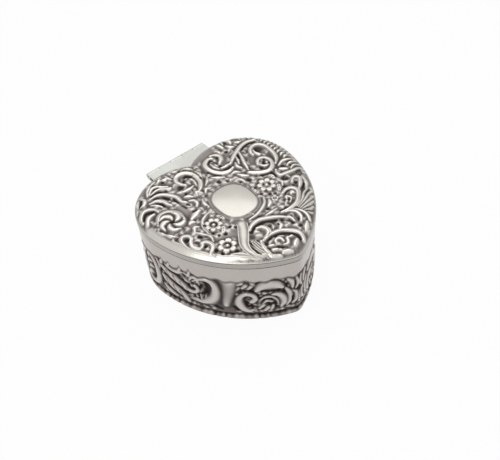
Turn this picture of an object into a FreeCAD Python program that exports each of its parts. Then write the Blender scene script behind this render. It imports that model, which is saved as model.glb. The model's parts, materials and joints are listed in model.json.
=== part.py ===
import FreeCAD, Part
import math
import os

os.makedirs("parts", exist_ok=True)
V = FreeCAD.Vector
UP = V(0, 0, 1)
ALONG = V(1, 0, 0)
ORIGIN = V(0, 0, 0)

# Heart outline of the lid, seen from above
HEART_W = 100.0                    # widest, across both lobes
LOBE_X = 18.2                      # lobe centre from the mid plane
LOBE_R = HEART_W / 2 - LOBE_X
SIDE_R = 76.0                      # long arc down each side
SIDE_TURN = math.radians(-5.4)     # where a lobe hands over to its side arc
TIP_R = 8.4                        # rounding of the point
SIDE_CX = LOBE_X - (SIDE_R - LOBE_R) * math.cos(SIDE_TURN)
SIDE_CY = -(SIDE_R - LOBE_R) * math.sin(SIDE_TURN)
TIP_CY = SIDE_CY - math.sqrt((SIDE_R - TIP_R) ** 2 - SIDE_CX ** 2)
TIP_REACH = TIP_R - TIP_CY         # from the lobe line to the point

# Hinge behind the notch
PIVOT_REACH = 41.1                 # from the lobe line to the hinge axis
KNUCKLE_R = 1.9
LEAF_W = 41.0
LEAF_T = 1.0
KNUCKLES = 5                       # odd, so that the case has both end ones
KNUCKLE_GAP = 0.2                  # end play between neighbours
SWING_GAP = 0.25                   # leaf cut round the other leaf's knuckles
PIN_R = 0.8
PIN_FIT = 0.05
PIN_SHORT = 0.4                    # pin ends sit inside the end knuckles

# The origin is under the middle of the whole length
LOBE_Y = (TIP_REACH - PIVOT_REACH - KNUCKLE_R) / 2
PIVOT_Y = LOBE_Y + PIVOT_REACH

# Heights of the case and the lid
SEAM_Z = 43.5                      # where lid and case part
SKIRT_H = 4.2                      # plain upright edge of the lid
RIM_Z = SEAM_Z + SKIRT_H
DOME_RISE = 3.2
DOME_IN = 6.0                      # width of the rounded border
DOME_STEPS = 4
LID_T = 1.0
TOP_Z = RIM_Z + DOME_RISE
BOSS_R = 13.0                      # plain raised cartouche
BOSS_RISE = 1.8
BOSS_X = -2.0
BOSS_Y = LOBE_Y - 15.0
LID_PAD_T = 0.8
PIVOT_Z = SEAM_Z + LEAF_T - KNUCKLE_R

# Case wall, as insets from the lid's outline
FOOT_IN = 0.6
FOOT_H = 3.6
FOOT_TOP = 5.2
FRIEZE_IN = 0.9                    # middle level of the embossing
FRIEZE_TOP = 33.0
BAND_IN = 0.4                      # plain band under the lid
WALL_LOW_IN = 2.4                  # inner face behind the frieze
WALL_HIGH_IN = 1.5                 # inner face behind the band
WALL_STEP_Z = 32.0
COLLAR_T = 0.8                     # ring that locates the lid
COLLAR_Z = 34.0
COLLAR_UP = 1.5

# Main scrolls of the embossing, drawn for a heart of this width
DRAWN_W = 100.0
GROW = HEART_W / DRAWN_W
SCROLL_R = 1.25
SCROLL_RISE = 1.0                  # above the lid's flat top
SCROLL_IN = 0.15                   # outermost point of the wall's scrolls
STEM_R = 2.0
BLOSSOM_RISE = 0.9
# lid: places from the lobe line, half of them on each side
LID_SCROLLS = (
    ((-14, 3.6), (-9.5, 5.4), (-6.4, 9.2), (-5.4, 14), (-6.6, 18.6), (-10, 21), (-14, 20.8)),
    ((-35.4, 16.8), (-30.6, 16.4), (-27, 13.8), (-25.2, 9.8), (-26.2, 5)),
    ((-37, 13.4), (-33.2, 12.6), (-30.6, 9.6), (-29.8, 6)),
    ((-41.6, 0.6), (-37.4, 2.8), (-34.4, 1.2), (-33.6, -2.4)),
    ((-34.8, -29.6), (-32.4, -29.2), (-30.4, -30.8), (-31, -34.2)),
    ((-9, -38), (-6.4, -36.9), (-2, -36.6), (2.4, -37.4), (5, -38.6)),
    ((-9, -50), (-6, -48.4), (0, -48.8), (4.8, -51.4), (7.6, -55.4)),
    ((14, 4.4), (8.8, 5.4), (5.3, 8.4), (4, 12.6), (4.6, 17), (7, 20), (10.6, 21.2)),
    ((17.4, 7.2), (20.4, 11), (24, 13.7), (28, 15.6), (33, 17), (37.4, 17)),
    ((31.2, 5.6), (31, 9), (33.6, 11.6), (37, 11.4), (39.7, 8.2), (40.5, 3), (39.7, -3), (36.6, -7.8),
     (31, -10.6), (25.5, -10), (21.6, -7.4)),
    ((31.4, -13.6), (30.2, -17), (33, -20), (37, -19.2)),
    ((20, -31), (25, -30.4), (28.4, -33), (27.2, -37), (23, -39.8), (16, -41), (10, -40.4)),
    ((10, -44), (13, -43.6), (16, -46), (16.2, -51)),
)
LID_STEM = ((-12, -36), (-15.4, -40), (-18.4, -44.4), (-19.4, -48.6))
# flower centres and radii
BLOSSOMS = ((-25, -39, 5.0), (-20.4, -21.6, 5.0), (21.2, -18.6, 5.0), (-3.4, -56.2, 3.4))
# wall: distance from the tip along the outline, and share of the frieze's height
WALL_SCROLLS = (
    ((60, 0.88), (55, 0.92), (49.4, 0.88), (46.2, 0.68), (47.2, 0.41), (52, 0.22), (58.6, 0.19)),
    ((75, 0.78), (71, 0.55), (69.6, 0.28)),
    ((98, 0.17), (97.4, 0.53), (94, 0.85), (89.6, 0.92), (85.4, 0.78), (84.6, 0.42), (86, 0.14)),
    ((42.6, 0.9), (43, 0.68), (42.4, 0.39), (39.6, 0.22)),
    ((34.4, 0.8), (34.8, 0.5), (32, 0.24), (26.6, 0.19), (23.4, 0.33), (24.4, 0.52), (28.4, 0.57)),
    ((21.6, 0.91), (15.6, 0.92), (10.6, 0.8), (9, 0.55), (10.4, 0.28)),
    ((4.4, 0.82), (4, 0.6), (4.6, 0.32)),
    ((112, 0.92), (106.4, 0.82), (104.4, 0.57), (107, 0.32), (112.6, 0.23), (117, 0.34)),
    ((139, 0.82), (137.4, 0.46), (132, 0.23), (127, 0.28), (126.4, 0.5)),
    ((122, 0.9), (121.6, 0.6), (122, 0.24)),
    ((151, 0.86), (149, 0.53), (150, 0.17)),
)

# Base plate, set up inside the wall to leave room for the key
PLATE_Z = 8.0
PLATE_T = 1.2
PLATE_TOP = PLATE_Z + PLATE_T
PLATE_FIT = 0.05
LUG_W = 9.0
LUG_H = 5.0
LUG_TOP = PLATE_TOP + LUG_H
LUG_SET = 6.0                      # screw centre from the lid's outline
LUG_HIGH = math.radians(9.0)       # place round the lobe
LUG_LOW = math.radians(-47.8)      # place round the side arc
SOUND_R = 1.6
SOUND_RING = 6.0
SOUND_HOLES = 6

# Screws
SCREW_R = 0.9
SCREW_FIT = 0.03
SCREW_HEAD_R = 1.7
SCREW_HEAD_H = 0.9
SLOT_W = 0.5
SLOT_D = 0.4

# Tray over the movement
LEDGE_IN = 2.6
LEDGE_T = 2.0
TRAY_Z = 30.5
TRAY_IN = 2.5
TRAY_T = 0.8
TRAY_FLOOR_T = 1.2
TRAY_TOP = 42.7
VELVET_T = 0.8
VELVET_TOP = 43.0
PAD_T = 1.2
PAD_GAP = 0.1
PAD_TOP = TRAY_Z + TRAY_FLOOR_T + PAD_T

# Movement: bedplate
MOVE_Y = LOBE_Y - 1.0              # cylinder and barrel axes lie in this plane
BED_T = 1.8
BED_Z = PLATE_TOP
BED_TOP = BED_Z + BED_T
BED_EDGE = 1.0                     # beyond the outermost pieces on it
BED_ROUND = 4.0
BED_SCREW_SET = 5.0
BED_SCREW_IN = 1.3                 # depth of thread in the bedplate

# Movement: winding arbor, key and spring barrel
KEY_X = -16.0
ARBOR_R = 1.6
CORE_R = 2.4
ARBOR_TOP_R = 1.2
RUN_FIT = 0.05                     # radial clearance of every running fit
ARBOR_Z = 2.4
KEY_Z = 1.4
KEY_H = 5.2
KEY_HUB_R = 2.6
KEY_REACH = 12.0
KEY_T = 1.4
KEY_RIM = 1.3
BEZEL_R = 4.2
BEZEL_NECK_R = 3.0
BEZEL_T = 0.7
BARREL_R = 11.0
BARREL_T = 0.8
BARREL_GAP = 0.6
BARREL_Z = BED_TOP + BARREL_GAP
BARREL_H = 6.4
BARREL_TOP = BARREL_Z + BARREL_H
WASHER_R = 4.2
END_PLAY = 0.1
WRAP_WIRE_R = 0.24                 # wrap spring that lets the key turn one way
WRAP_TURNS = 2
WRAP_PITCH = 0.6
WRAP_HOLE_R = 2.7
COIL_STEPS = 8                     # points a turn on each wound spring
MAIN_T = 0.3                       # mainspring strip
MAIN_TURNS = 9
MAIN_SPARE = 0.6                   # room between the strip and the barrel
MAIN_PITCH = (BARREL_R - BARREL_T - MAIN_SPARE - CORE_R - END_PLAY - MAIN_T) / (MAIN_TURNS + 0.5)

# Gear train
CROWN_TEETH = 40
CROWN_EDGE = 1.2
CROWN_R = BARREL_R - CROWN_EDGE
CROWN_DISC_T = 0.8
CROWN_TOOTH_H = 1.0
CROWN_TOOTH_T = 0.45
CROWN_TOOTH_W = 2.2
DRIVEN_TEETH = 10
DRIVEN_R = CROWN_R * DRIVEN_TEETH / CROWN_TEETH
DRIVEN_ADD = 0.4
DRIVEN_DED = 0.6
DRIVEN_W = 1.8
WHEEL_TEETH = 40
LEAF_TEETH = 8
SPUR_M = 0.32
SPUR_ADD = 0.28
SPUR_DED = 0.42
SPUR_W = 1.0
SPUR_FREE = 0.08                   # centres set wider than the pitch circles
TOOTH_SHARE = 0.34                 # tooth thickness over pitch
WORM_WHEEL_TEETH = 20
WORM_WHEEL_R = 4.0
WORM_WHEEL_ADD = 0.35
WORM_WHEEL_DED = 0.55
WORM_WHEEL_W = 1.2
WORM_R = 1.2
WORM_CORE_R = 0.8
WORM_TIP_R = 1.5
WORM_FREE = 0.05
WORM_PITCH = 2 * math.pi * WORM_WHEEL_R / WORM_WHEEL_TEETH
WORM_TURNS = 4
THREAD_ROOT = 0.5
THREAD_TIP = 0.22
WHEEL_R = SPUR_M * WHEEL_TEETH / 2
LEAF_R = SPUR_M * LEAF_TEETH / 2
CROWN_Z = BARREL_TOP + CROWN_DISC_T
AXIS_Z = CROWN_Z + CROWN_TOOTH_H / 2 + DRIVEN_R + RUN_FIT

# Cylinder, its pillars and the comb
AXLE_R = 1.0
PILLAR_T = 1.6
PILLAR_HALF = 4.0
PILLAR_UP = 2.5
FOOT_T = 1.2
FOOT_L = 4.6
SIDE_GAP = 0.6                     # between a pillar and what turns beside it
DRIVEN_X = KEY_X + CROWN_R - DRIVEN_W / 2
LEFT_X = KEY_X + BARREL_R + SIDE_GAP
DRUM_X = LEFT_X + PILLAR_T + SIDE_GAP
DRUM_R = 6.2
NOTES = 18
NOTE_PITCH = 1.1
DRUM_L = NOTES * NOTE_PITCH
NOTE_PIN_R = 0.16
NOTE_PIN_H = 0.7
PIN_ROOT = 0.4
PINS_A_NOTE = 5
WHEEL_X = DRUM_X + DRUM_L
RIGHT_X = WHEEL_X + SPUR_W + SIDE_GAP
COMB_T = 1.0
COMB_GAP = 0.25                    # tooth tips to the pins
COMB_SLOT = 0.28
COMB_LONG = 14.0
COMB_SHORT = 9.0
COMB_BACK = 6.0
TIP_Y = MOVE_Y - DRUM_R - NOTE_PIN_H - COMB_GAP
BLOCK_Y = TIP_Y - COMB_LONG - COMB_BACK
COMB_SCREWS = 2

# Governor: arbor, worm, fly and bracket
STAFF_R = 0.5
STAFF_Y = MOVE_Y + WHEEL_R + LEAF_R + SPUR_FREE
WORM_WHEEL_X = RIGHT_X + PILLAR_T + SIDE_GAP
FLY_X = WORM_WHEEL_X + WORM_WHEEL_W / 2
FLY_Y = STAFF_Y + WORM_WHEEL_R + WORM_R + WORM_FREE
WORM_SHAFT_R = 0.6
TIP_PIVOT_R = 0.3
BRACKET_X = WORM_WHEEL_X + WORM_WHEEL_W + 2 * SIDE_GAP
BRACKET_T = 1.2
BRACKET_Y = (MOVE_Y + 2.0, MOVE_Y + 8.0)
BRACKET_STEP_Z = 18.0
ARM_Z = 27.0
ARM_HALF = 1.8
STONE_R = 1.2
STONE_T = 0.7
FLY_Z = BED_TOP + 1.4
BLADE_H = 3.8
BLADE_R = 4.2
BLADE_T = 0.4
FLY_HUB_R = 1.2
DISC_R = 3.2
DISC_T = 0.6
DISC_TOP = FLY_Z + BLADE_H + DISC_T

# Stop rod that the lid holds down
ROD_R = 0.9
ROD_Y = FLY_Y + 7.0
ROD_Z = BED_TOP + 0.6
ROD_TOP = TOP_Z - LID_T - LID_PAD_T - 0.2
ROD_ROUND = 0.5
GUIDE_R = 2.0
GUIDE_H = 3.5
BRAKE_GAP = 0.1
BRAKE_T = 0.8
BRAKE_IN = 1.8                     # brake starts this far behind the fly's axis
FINGER_T = 1.2
FINGER_HALF = 0.8
FINGER_Z = DISC_TOP + BRAKE_GAP + BRAKE_T
ROD_COLLAR_R = 1.8
COIL_R = 1.4
COIL_WIRE_R = 0.2
COIL_TURNS = 3
EYELET_R = 1.8
EYELET_FLANGE_R = 2.8
EYELET_FLANGE_T = 0.5

# Bedplate outline, round what stands on it
BRACKET_FAR = BRACKET_X + BRACKET_T
BED_X = (KEY_X - BARREL_R - BED_EDGE, BRACKET_FAR + FOOT_L + BED_EDGE)
BED_Y = (BLOCK_Y - BED_EDGE, ROD_Y + GUIDE_R + BED_EDGE)

# Bridge over the barrel
BRIDGE_HALF = 2.5
BRIDGE_T = 1.2
BRIDGE_POST_T = 2.0
BRIDGE_Z = CROWN_Z + CROWN_TOOTH_H + 0.8
BRIDGE_FOOT = 4.0


def heart_wire(inset, z):
    """Closed heart of five arcs, the lid's outline moved inwards by inset."""
    lobe, side, tip = LOBE_R - inset, SIDE_R - inset, TIP_R - inset
    notch = math.sqrt(lobe ** 2 - LOBE_X ** 2)
    away = math.atan2(TIP_CY - SIDE_CY, -SIDE_CX)
    arcs = []
    for sign in (1, -1):

        def at(cx, cy, r, angle):
            return V(sign * (cx + r * math.cos(angle)), LOBE_Y + cy + r * math.sin(angle), z)

        first = math.atan2(notch, -LOBE_X)
        arcs.append([at(LOBE_X, 0, lobe, a) for a in (first, (first + SIDE_TURN) / 2, SIDE_TURN)])
        arcs.append([at(SIDE_CX, SIDE_CY, side, a) for a in (SIDE_TURN, (SIDE_TURN + away) / 2, away)])
    point = V(0, LOBE_Y + TIP_CY - tip, z)
    chain = [arcs[0], arcs[1], [arcs[1][2], point, arcs[3][2]], arcs[3][::-1], arcs[2][::-1]]
    return Part.Wire([Part.Arc(*three).toShape() for three in chain])


def heart(inset, z0, z1):
    """Upright heart-shaped block."""
    return Part.Face(heart_wire(inset, z0)).extrude(V(0, 0, z1 - z0))


def heart_ring(outer, inner, z0, z1):
    """Upright heart-shaped wall between two insets."""
    return heart(outer, z0, z1).cut(heart(inner, z0, z1))


def heart_slope(inset0, z0, inset1, z1):
    """Block whose side slopes from one inset to another."""
    return Part.makeLoft([heart_wire(inset0, z0), heart_wire(inset1, z1)], True, True)


def dome(inset, drop):
    """Pillow-shaped top of the lid, moved in by inset and down by drop."""
    wires = []
    for step in range(DOME_STEPS + 1):
        share = step / DOME_STEPS
        rise = DOME_RISE * (1 - (1 - share) ** 2)
        wires.append(heart_wire(inset + DOME_IN * share, RIM_Z + rise - drop))
    return Part.makeLoft(wires, True, True)


def block(x0, x1, y0, y1, z0, z1):
    return Part.makeBox(x1 - x0, y1 - y0, z1 - z0, V(x0, y0, z0))


def post(x, y, r, z0, z1):
    """Upright round bar."""
    return Part.makeCylinder(r, z1 - z0, V(x, y, z0), UP)


def rod_x(x0, x1, y, z, r):
    """Round bar along X."""
    return Part.makeCylinder(r, x1 - x0, V(x0, y, z), ALONG)


def screw(x, y, seat, length, up):
    """Slotted screw whose head bears on the height seat and whose shank runs up or down."""
    head = post(0, 0, SCREW_HEAD_R, -SCREW_HEAD_H, 0)
    shank = post(0, 0, SCREW_R, 0, length)
    slot = block(-SCREW_HEAD_R, SCREW_HEAD_R, -SLOT_W / 2, SLOT_W / 2, -SCREW_HEAD_H, SLOT_D - SCREW_HEAD_H)
    whole = head.fuse(shank).cut(slot).removeSplitter()
    if not up:
        whole.rotate(ORIGIN, ALONG, 180)
    whole.translate(V(x, y, seat))
    return whole


def screw_hole(x, y, z0, z1):
    return post(x, y, SCREW_R + SCREW_FIT, z0, z1)


def gear(teeth, pitch_r, add, ded, width, turn):
    """Toothed disc along X, its first tooth turned from straight down by part of a tooth."""
    half = TOOTH_SHARE * math.pi / teeth
    flank = [(-1.3, pitch_r - ded), (-0.55, pitch_r + add), (0.55, pitch_r + add), (1.3, pitch_r - ded)]
    points = []
    for tooth in range(teeth):
        middle = 2 * math.pi * (tooth + turn) / teeth
        for side, r in flank:
            angle = middle + side * half
            points.append(V(r * math.cos(angle), r * math.sin(angle), 0))
    solid = Part.Face(Part.makePolygon(points + points[:1])).extrude(V(0, 0, width))
    solid.rotate(ORIGIN, V(0, 1, 0), 90)
    return solid


def coil(x, y, z, r, wire_r, pitch, turns):
    """Round wire wound round an upright axis."""
    points = []
    for step in range(turns * COIL_STEPS + 1):
        share = step / COIL_STEPS
        angle = 2 * math.pi * share
        points.append(V(x + r * math.cos(angle), y + r * math.sin(angle), z + pitch * share))
    line = Part.BSplineCurve()
    line.interpolate(points)
    path = line.toShape()
    end = Part.Wire(Part.makeCircle(wire_r, points[0], path.tangentAt(path.FirstParameter)))
    return Part.Wire(path).makePipeShell([end], True, False)


def rib(points, r):
    """Round bar along a smooth line through a few points."""
    line = Part.BSplineCurve()
    line.interpolate(points)
    path = line.toShape()
    end = Part.Wire(Part.makeCircle(r, points[0], path.tangentAt(path.FirstParameter)))
    return Part.Wire(path).makePipeShell([end], True, False)


def wall_place(gone, inset, z):
    """Point on the right side of the wall, a distance from the tip along the lid's outline."""
    away = math.atan2(TIP_CY - SIDE_CY, -SIDE_CX)
    arcs = ((0, TIP_CY, TIP_R, -math.pi / 2, away), (SIDE_CX, SIDE_CY, SIDE_R, away, SIDE_TURN),
            (LOBE_X, 0, LOBE_R, SIDE_TURN, math.pi))
    for cx, cy, r, start, stop in arcs:
        if gone <= r * (stop - start):
            break
        gone -= r * (stop - start)
    angle = start + gone / r
    return V(cx + (r - inset) * math.cos(angle), LOBE_Y + cy + (r - inset) * math.sin(angle), z)


def wall_scrolls():
    """Main scrolls of the frieze, the same on both sides of the tip."""
    bars = []
    for scroll in WALL_SCROLLS:
        points = []
        for gone, share in scroll:
            z = FOOT_TOP + share * (FRIEZE_TOP - FOOT_TOP)
            points.append(wall_place(gone * GROW, SCROLL_IN + SCROLL_R, z))
        bar = rib(points, SCROLL_R)
        bars += [bar, bar.mirror(ORIGIN, ALONG)]
    return bars


def lid_scrolls():
    """Main scrolls, stem and flowers of the lid, with their feet sunk in its flat top."""
    bars = []
    for scroll, r in [(scroll, SCROLL_R) for scroll in LID_SCROLLS] + [(LID_STEM, STEM_R)]:
        z = TOP_Z + SCROLL_RISE - r
        bars.append(rib([V(x * GROW, LOBE_Y + y * GROW, z) for x, y in scroll], r))
    for x, y, r in BLOSSOMS:
        ball_r = (r ** 2 + BLOSSOM_RISE ** 2) / (2 * BLOSSOM_RISE)
        centre = V(x * GROW, LOBE_Y + y * GROW, TOP_Z + BLOSSOM_RISE - ball_r)
        bars.append(Part.makeSphere(ball_r, centre, ALONG))
    above = post(0, LOBE_Y, 2 * HEART_W, TOP_Z - LID_T / 4, TOP_Z + SCROLL_RISE)
    return [bar.common(above) for bar in bars]


def save(name, shape):
    shape.exportStep("parts/" + name + ".step")


# Screw places on the base plate
LUG_XY = [(LOBE_X + (LOBE_R - LUG_SET) * math.cos(LUG_HIGH), LOBE_Y + (LOBE_R - LUG_SET) * math.sin(LUG_HIGH)),
          (SIDE_CX + (SIDE_R - LUG_SET) * math.cos(LUG_LOW),
           LOBE_Y + SIDE_CY + (SIDE_R - LUG_SET) * math.sin(LUG_LOW))]
LUGS = [(sign * x, y) for x, y in LUG_XY for sign in (-1, 1)]
BED_SCREWS = [(BED_X[0] + BED_SCREW_SET, BED_Y[0] + BED_SCREW_SET),
              (BED_X[1] - BED_SCREW_SET, BED_Y[0] + BED_SCREW_SET),
              ((BED_X[0] + BED_X[1]) / 2, BED_Y[1] - BED_SCREW_SET)]
SOUND_Y = BED_Y[0] - 2 * SOUND_RING


# Case: wall, collar, base plate, lugs and screws
def make_case():
    wall = heart(FOOT_IN, 0, FOOT_H)
    wall = wall.fuse(heart_slope(FOOT_IN, FOOT_H, FRIEZE_IN, FOOT_TOP))
    wall = wall.fuse(heart(FRIEZE_IN, FOOT_TOP, FRIEZE_TOP))
    wall = wall.fuse(heart(BAND_IN, FRIEZE_TOP, SEAM_Z))
    wall = wall.fuse(wall_scrolls())
    wall = wall.cut(heart(WALL_LOW_IN, 0, WALL_STEP_Z)).cut(heart(WALL_HIGH_IN, WALL_STEP_Z, SEAM_Z))
    save("case_wall", wall)
    save("lid_collar", heart_ring(WALL_HIGH_IN, WALL_HIGH_IN + COLLAR_T, COLLAR_Z, SEAM_Z + COLLAR_UP))

    plate = heart(WALL_LOW_IN + PLATE_FIT, PLATE_Z, PLATE_TOP)
    plate = plate.cut(post(KEY_X, MOVE_Y, BEZEL_NECK_R, PLATE_Z, PLATE_TOP))
    for x, y in LUGS + BED_SCREWS:
        plate = plate.cut(screw_hole(x, y, PLATE_Z, PLATE_TOP))
    plate = plate.cut(post(0, SOUND_Y, SOUND_R, PLATE_Z, PLATE_TOP))
    for hole in range(SOUND_HOLES):
        angle = 2 * math.pi * hole / SOUND_HOLES
        x, y = SOUND_RING * math.cos(angle), SOUND_Y + SOUND_RING * math.sin(angle)
        plate = plate.cut(post(x, y, SOUND_R, PLATE_Z, PLATE_TOP))
    save("base_plate", plate)

    inside = heart(WALL_LOW_IN, PLATE_TOP, LUG_TOP)
    lugs, screws = [], []
    for x, y in LUGS:
        reach = block(x - LUG_W / 2, x + LUG_W / 2, y - LUG_W / 2, y + LUG_W / 2, PLATE_TOP, LUG_TOP)
        lugs.append(reach.common(inside).cut(screw_hole(x, y, PLATE_TOP, LUG_TOP)))
        screws.append(screw(x, y, PLATE_Z, PLATE_T + LUG_H / 2, True))
    save("base_lugs", Part.makeCompound(lugs))
    save("base_screws", Part.makeCompound(screws))


# Lid: domed shell with its skirt and boss, and its lining
def make_lid():
    shell = heart(0, SEAM_Z, RIM_Z).fuse(dome(0, 0))
    shell = shell.cut(heart(LID_T, SEAM_Z, RIM_Z - LID_T)).cut(dome(LID_T, LID_T))
    ball_r = (BOSS_R ** 2 + BOSS_RISE ** 2) / (2 * BOSS_RISE)
    boss = Part.makeSphere(ball_r, V(BOSS_X, BOSS_Y, TOP_Z + BOSS_RISE - ball_r), ALONG)
    bite = LID_T / 4
    boss = boss.common(post(BOSS_X, BOSS_Y, HEART_W, TOP_Z - bite, TOP_Z + BOSS_RISE))
    save("lid_shell", shell.fuse([boss] + lid_scrolls()).removeSplitter())
    lining = dome(LID_T, LID_T)
    lower = dome(LID_T, LID_T + LID_PAD_T)
    save("lid_lining", lining.cut(lower))


# Hinge: one leaf on the case, one on the lid, and the pin
def knuckle_span(number):
    pitch = LEAF_W / KNUCKLES
    start = -LEAF_W / 2 + number * pitch
    return start + KNUCKLE_GAP / 2, start + pitch - KNUCKLE_GAP / 2


def hinge_leaf(own, z0, outline_in):
    leaf = block(-LEAF_W / 2, LEAF_W / 2, LOBE_Y, PIVOT_Y, z0, z0 + LEAF_T)
    leaf = leaf.cut(heart(outline_in, z0, z0 + LEAF_T))
    for number in range(KNUCKLES):
        x0, x1 = knuckle_span(number)
        if number in own:
            leaf = leaf.fuse(rod_x(x0, x1, PIVOT_Y, PIVOT_Z, KNUCKLE_R))
        else:
            room = KNUCKLE_R + SWING_GAP
            leaf = leaf.cut(rod_x(x0 - KNUCKLE_GAP, x1 + KNUCKLE_GAP, PIVOT_Y, PIVOT_Z, room))
    leaf = leaf.cut(rod_x(-LEAF_W, LEAF_W, PIVOT_Y, PIVOT_Z, PIN_R + PIN_FIT))
    return max(leaf.Solids, key=lambda solid: solid.Volume)


def make_hinge():
    case_own = range(0, KNUCKLES, 2)
    lid_own = range(1, KNUCKLES, 2)
    save("hinge_leaf_case", hinge_leaf(case_own, PIVOT_Z - KNUCKLE_R, BAND_IN))
    save("hinge_leaf_lid", hinge_leaf(lid_own, SEAM_Z, 0))
    half = LEAF_W / 2 - PIN_SHORT
    save("hinge_pin", rod_x(-half, half, PIVOT_Y, PIVOT_Z, PIN_R))


# Tray for trinkets over the movement
def make_tray():
    save("tray_ledge", heart_ring(LEDGE_IN, LEDGE_IN + LEDGE_T, LUG_TOP, TRAY_Z))
    floor_top = TRAY_Z + TRAY_FLOOR_T
    hole = post(FLY_X, ROD_Y, EYELET_R + RUN_FIT, TRAY_Z, PAD_TOP)
    floor = heart(TRAY_IN, TRAY_Z, floor_top).cut(hole)
    inner = TRAY_IN + TRAY_T
    save("tray", floor.fuse(heart_ring(TRAY_IN, inner, floor_top, TRAY_TOP)))
    save("tray_velvet", heart_ring(inner, inner + VELVET_T, floor_top, VELVET_TOP))
    save("tray_pad", heart(inner + VELVET_T + PAD_GAP, floor_top, PAD_TOP).cut(hole))
    eyelet = post(FLY_X, ROD_Y, EYELET_R, TRAY_Z, PAD_TOP)
    eyelet = eyelet.fuse(post(FLY_X, ROD_Y, EYELET_FLANGE_R, PAD_TOP, PAD_TOP + EYELET_FLANGE_T))
    save("rod_eyelet", eyelet.cut(post(FLY_X, ROD_Y, ROD_R + RUN_FIT, TRAY_Z, TOP_Z)))


# Bedplate and what holds the winding arbor
def make_bed():
    bed = block(BED_X[0], BED_X[1], BED_Y[0], BED_Y[1], BED_Z, BED_TOP)
    upright = [edge for edge in bed.Edges if abs(edge.tangentAt(edge.FirstParameter).z) == 1]
    bed = bed.makeFillet(BED_ROUND, upright)
    bed = bed.cut(post(KEY_X, MOVE_Y, WRAP_HOLE_R, BED_Z, BED_TOP))
    bed = bed.cut(post(FLY_X, FLY_Y, TIP_PIVOT_R + RUN_FIT, BED_Z, BED_TOP))
    for x, y in BED_SCREWS + BRIDGE_SCREWS + PILLAR_SCREWS + BRACKET_SCREWS:
        bed = bed.cut(screw_hole(x, y, BED_Z, BED_TOP))
    save("bedplate", bed)
    long_shank = PLATE_T + BED_SCREW_IN
    save("bedplate_screws", Part.makeCompound([screw(x, y, PLATE_Z, long_shank, True) for x, y in BED_SCREWS]))
    washer = post(KEY_X, MOVE_Y, WASHER_R, BED_TOP, BARREL_Z - END_PLAY)
    save("thrust_washer", washer.cut(post(KEY_X, MOVE_Y, ARBOR_R + RUN_FIT, BED_TOP, BARREL_Z)))
    wrap_r = ARBOR_R + RUN_FIT + WRAP_WIRE_R
    wrap_z = BED_Z + WRAP_WIRE_R + RUN_FIT
    save("wrap_spring", coil(KEY_X, MOVE_Y, wrap_z, wrap_r, WRAP_WIRE_R, WRAP_PITCH, WRAP_TURNS))
    bezel = post(KEY_X, MOVE_Y, BEZEL_R, PLATE_Z - BEZEL_T, PLATE_Z)
    bezel = bezel.fuse(post(KEY_X, MOVE_Y, BEZEL_NECK_R, PLATE_Z, PLATE_TOP))
    save("key_bezel", bezel.cut(post(KEY_X, MOVE_Y, ARBOR_R + RUN_FIT, 0, PLATE_TOP)))


# Bridge that holds the top of the winding arbor
BRIDGE_POST_Y = BARREL_R + SIDE_GAP
BRIDGE_SPAN = BRIDGE_POST_Y + BRIDGE_POST_T
BRIDGE_SCREW_Y = BRIDGE_SPAN + BRIDGE_FOOT / 2
BRIDGE_SCREWS = [(KEY_X, MOVE_Y - BRIDGE_SCREW_Y), (KEY_X, MOVE_Y + BRIDGE_SCREW_Y)]


def make_bridge():
    x0, x1 = KEY_X - BRIDGE_HALF, KEY_X + BRIDGE_HALF
    bridge = block(x0, x1, MOVE_Y - BRIDGE_SPAN, MOVE_Y + BRIDGE_SPAN, BRIDGE_Z, BRIDGE_Z + BRIDGE_T)
    for sign in (-1, 1):
        near, far, toe = (MOVE_Y + sign * d for d in (BRIDGE_POST_Y, BRIDGE_SPAN, BRIDGE_SPAN + BRIDGE_FOOT))
        bridge = bridge.fuse(block(x0, x1, min(near, far), max(near, far), BED_TOP, BRIDGE_Z))
        bridge = bridge.fuse(block(x0, x1, min(far, toe), max(far, toe), BED_TOP, BED_TOP + FOOT_T))
    for x, y in BRIDGE_SCREWS:
        bridge = bridge.cut(screw_hole(x, y, BED_TOP, BED_TOP + FOOT_T))
    bridge = bridge.cut(post(KEY_X, MOVE_Y, ARBOR_TOP_R + RUN_FIT, BRIDGE_Z, BRIDGE_Z + BRIDGE_T))
    save("barrel_bridge", bridge.removeSplitter())
    save("bridge_screws", Part.makeCompound(bed_screws(BRIDGE_SCREWS)))


def bed_screws(places):
    """Screws that hold a foot down on the bedplate."""
    return [screw(x, y, BED_TOP + FOOT_T, FOOT_T + BED_SCREW_IN, False) for x, y in places]


# Key and winding arbor
def make_key():
    key = post(0, 0, KEY_HUB_R, KEY_Z, KEY_Z + KEY_H)
    end_r = KEY_H / 2
    middle = KEY_Z + end_r
    for sign in (-1, 1):
        for r, solid in ((end_r, True), (end_r - KEY_RIM, False)):
            near, far = sign * (KEY_HUB_R + KEY_RIM), sign * (KEY_REACH - end_r)
            wing = block(min(near, far), max(near, far), -KEY_T / 2, KEY_T / 2, middle - r, middle + r)
            for x in (near, far):
                wing = wing.fuse(Part.makeCylinder(r, KEY_T, V(x, -KEY_T / 2, middle), V(0, 1, 0)))
            key = key.fuse(wing) if solid else key.cut(wing)
    key = key.cut(post(0, 0, ARBOR_R, ARBOR_Z, KEY_Z + KEY_H))
    key.translate(V(KEY_X, MOVE_Y, 0))
    save("key", key.removeSplitter())
    core_z, core_top = BARREL_Z + BARREL_T + END_PLAY, BARREL_TOP - END_PLAY
    arbor = post(KEY_X, MOVE_Y, ARBOR_R, ARBOR_Z, core_z)
    arbor = arbor.fuse(post(KEY_X, MOVE_Y, CORE_R, core_z, core_top))
    arbor = arbor.fuse(post(KEY_X, MOVE_Y, ARBOR_TOP_R, core_top, BRIDGE_Z + BRIDGE_T))
    save("winding_arbor", arbor)


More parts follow.
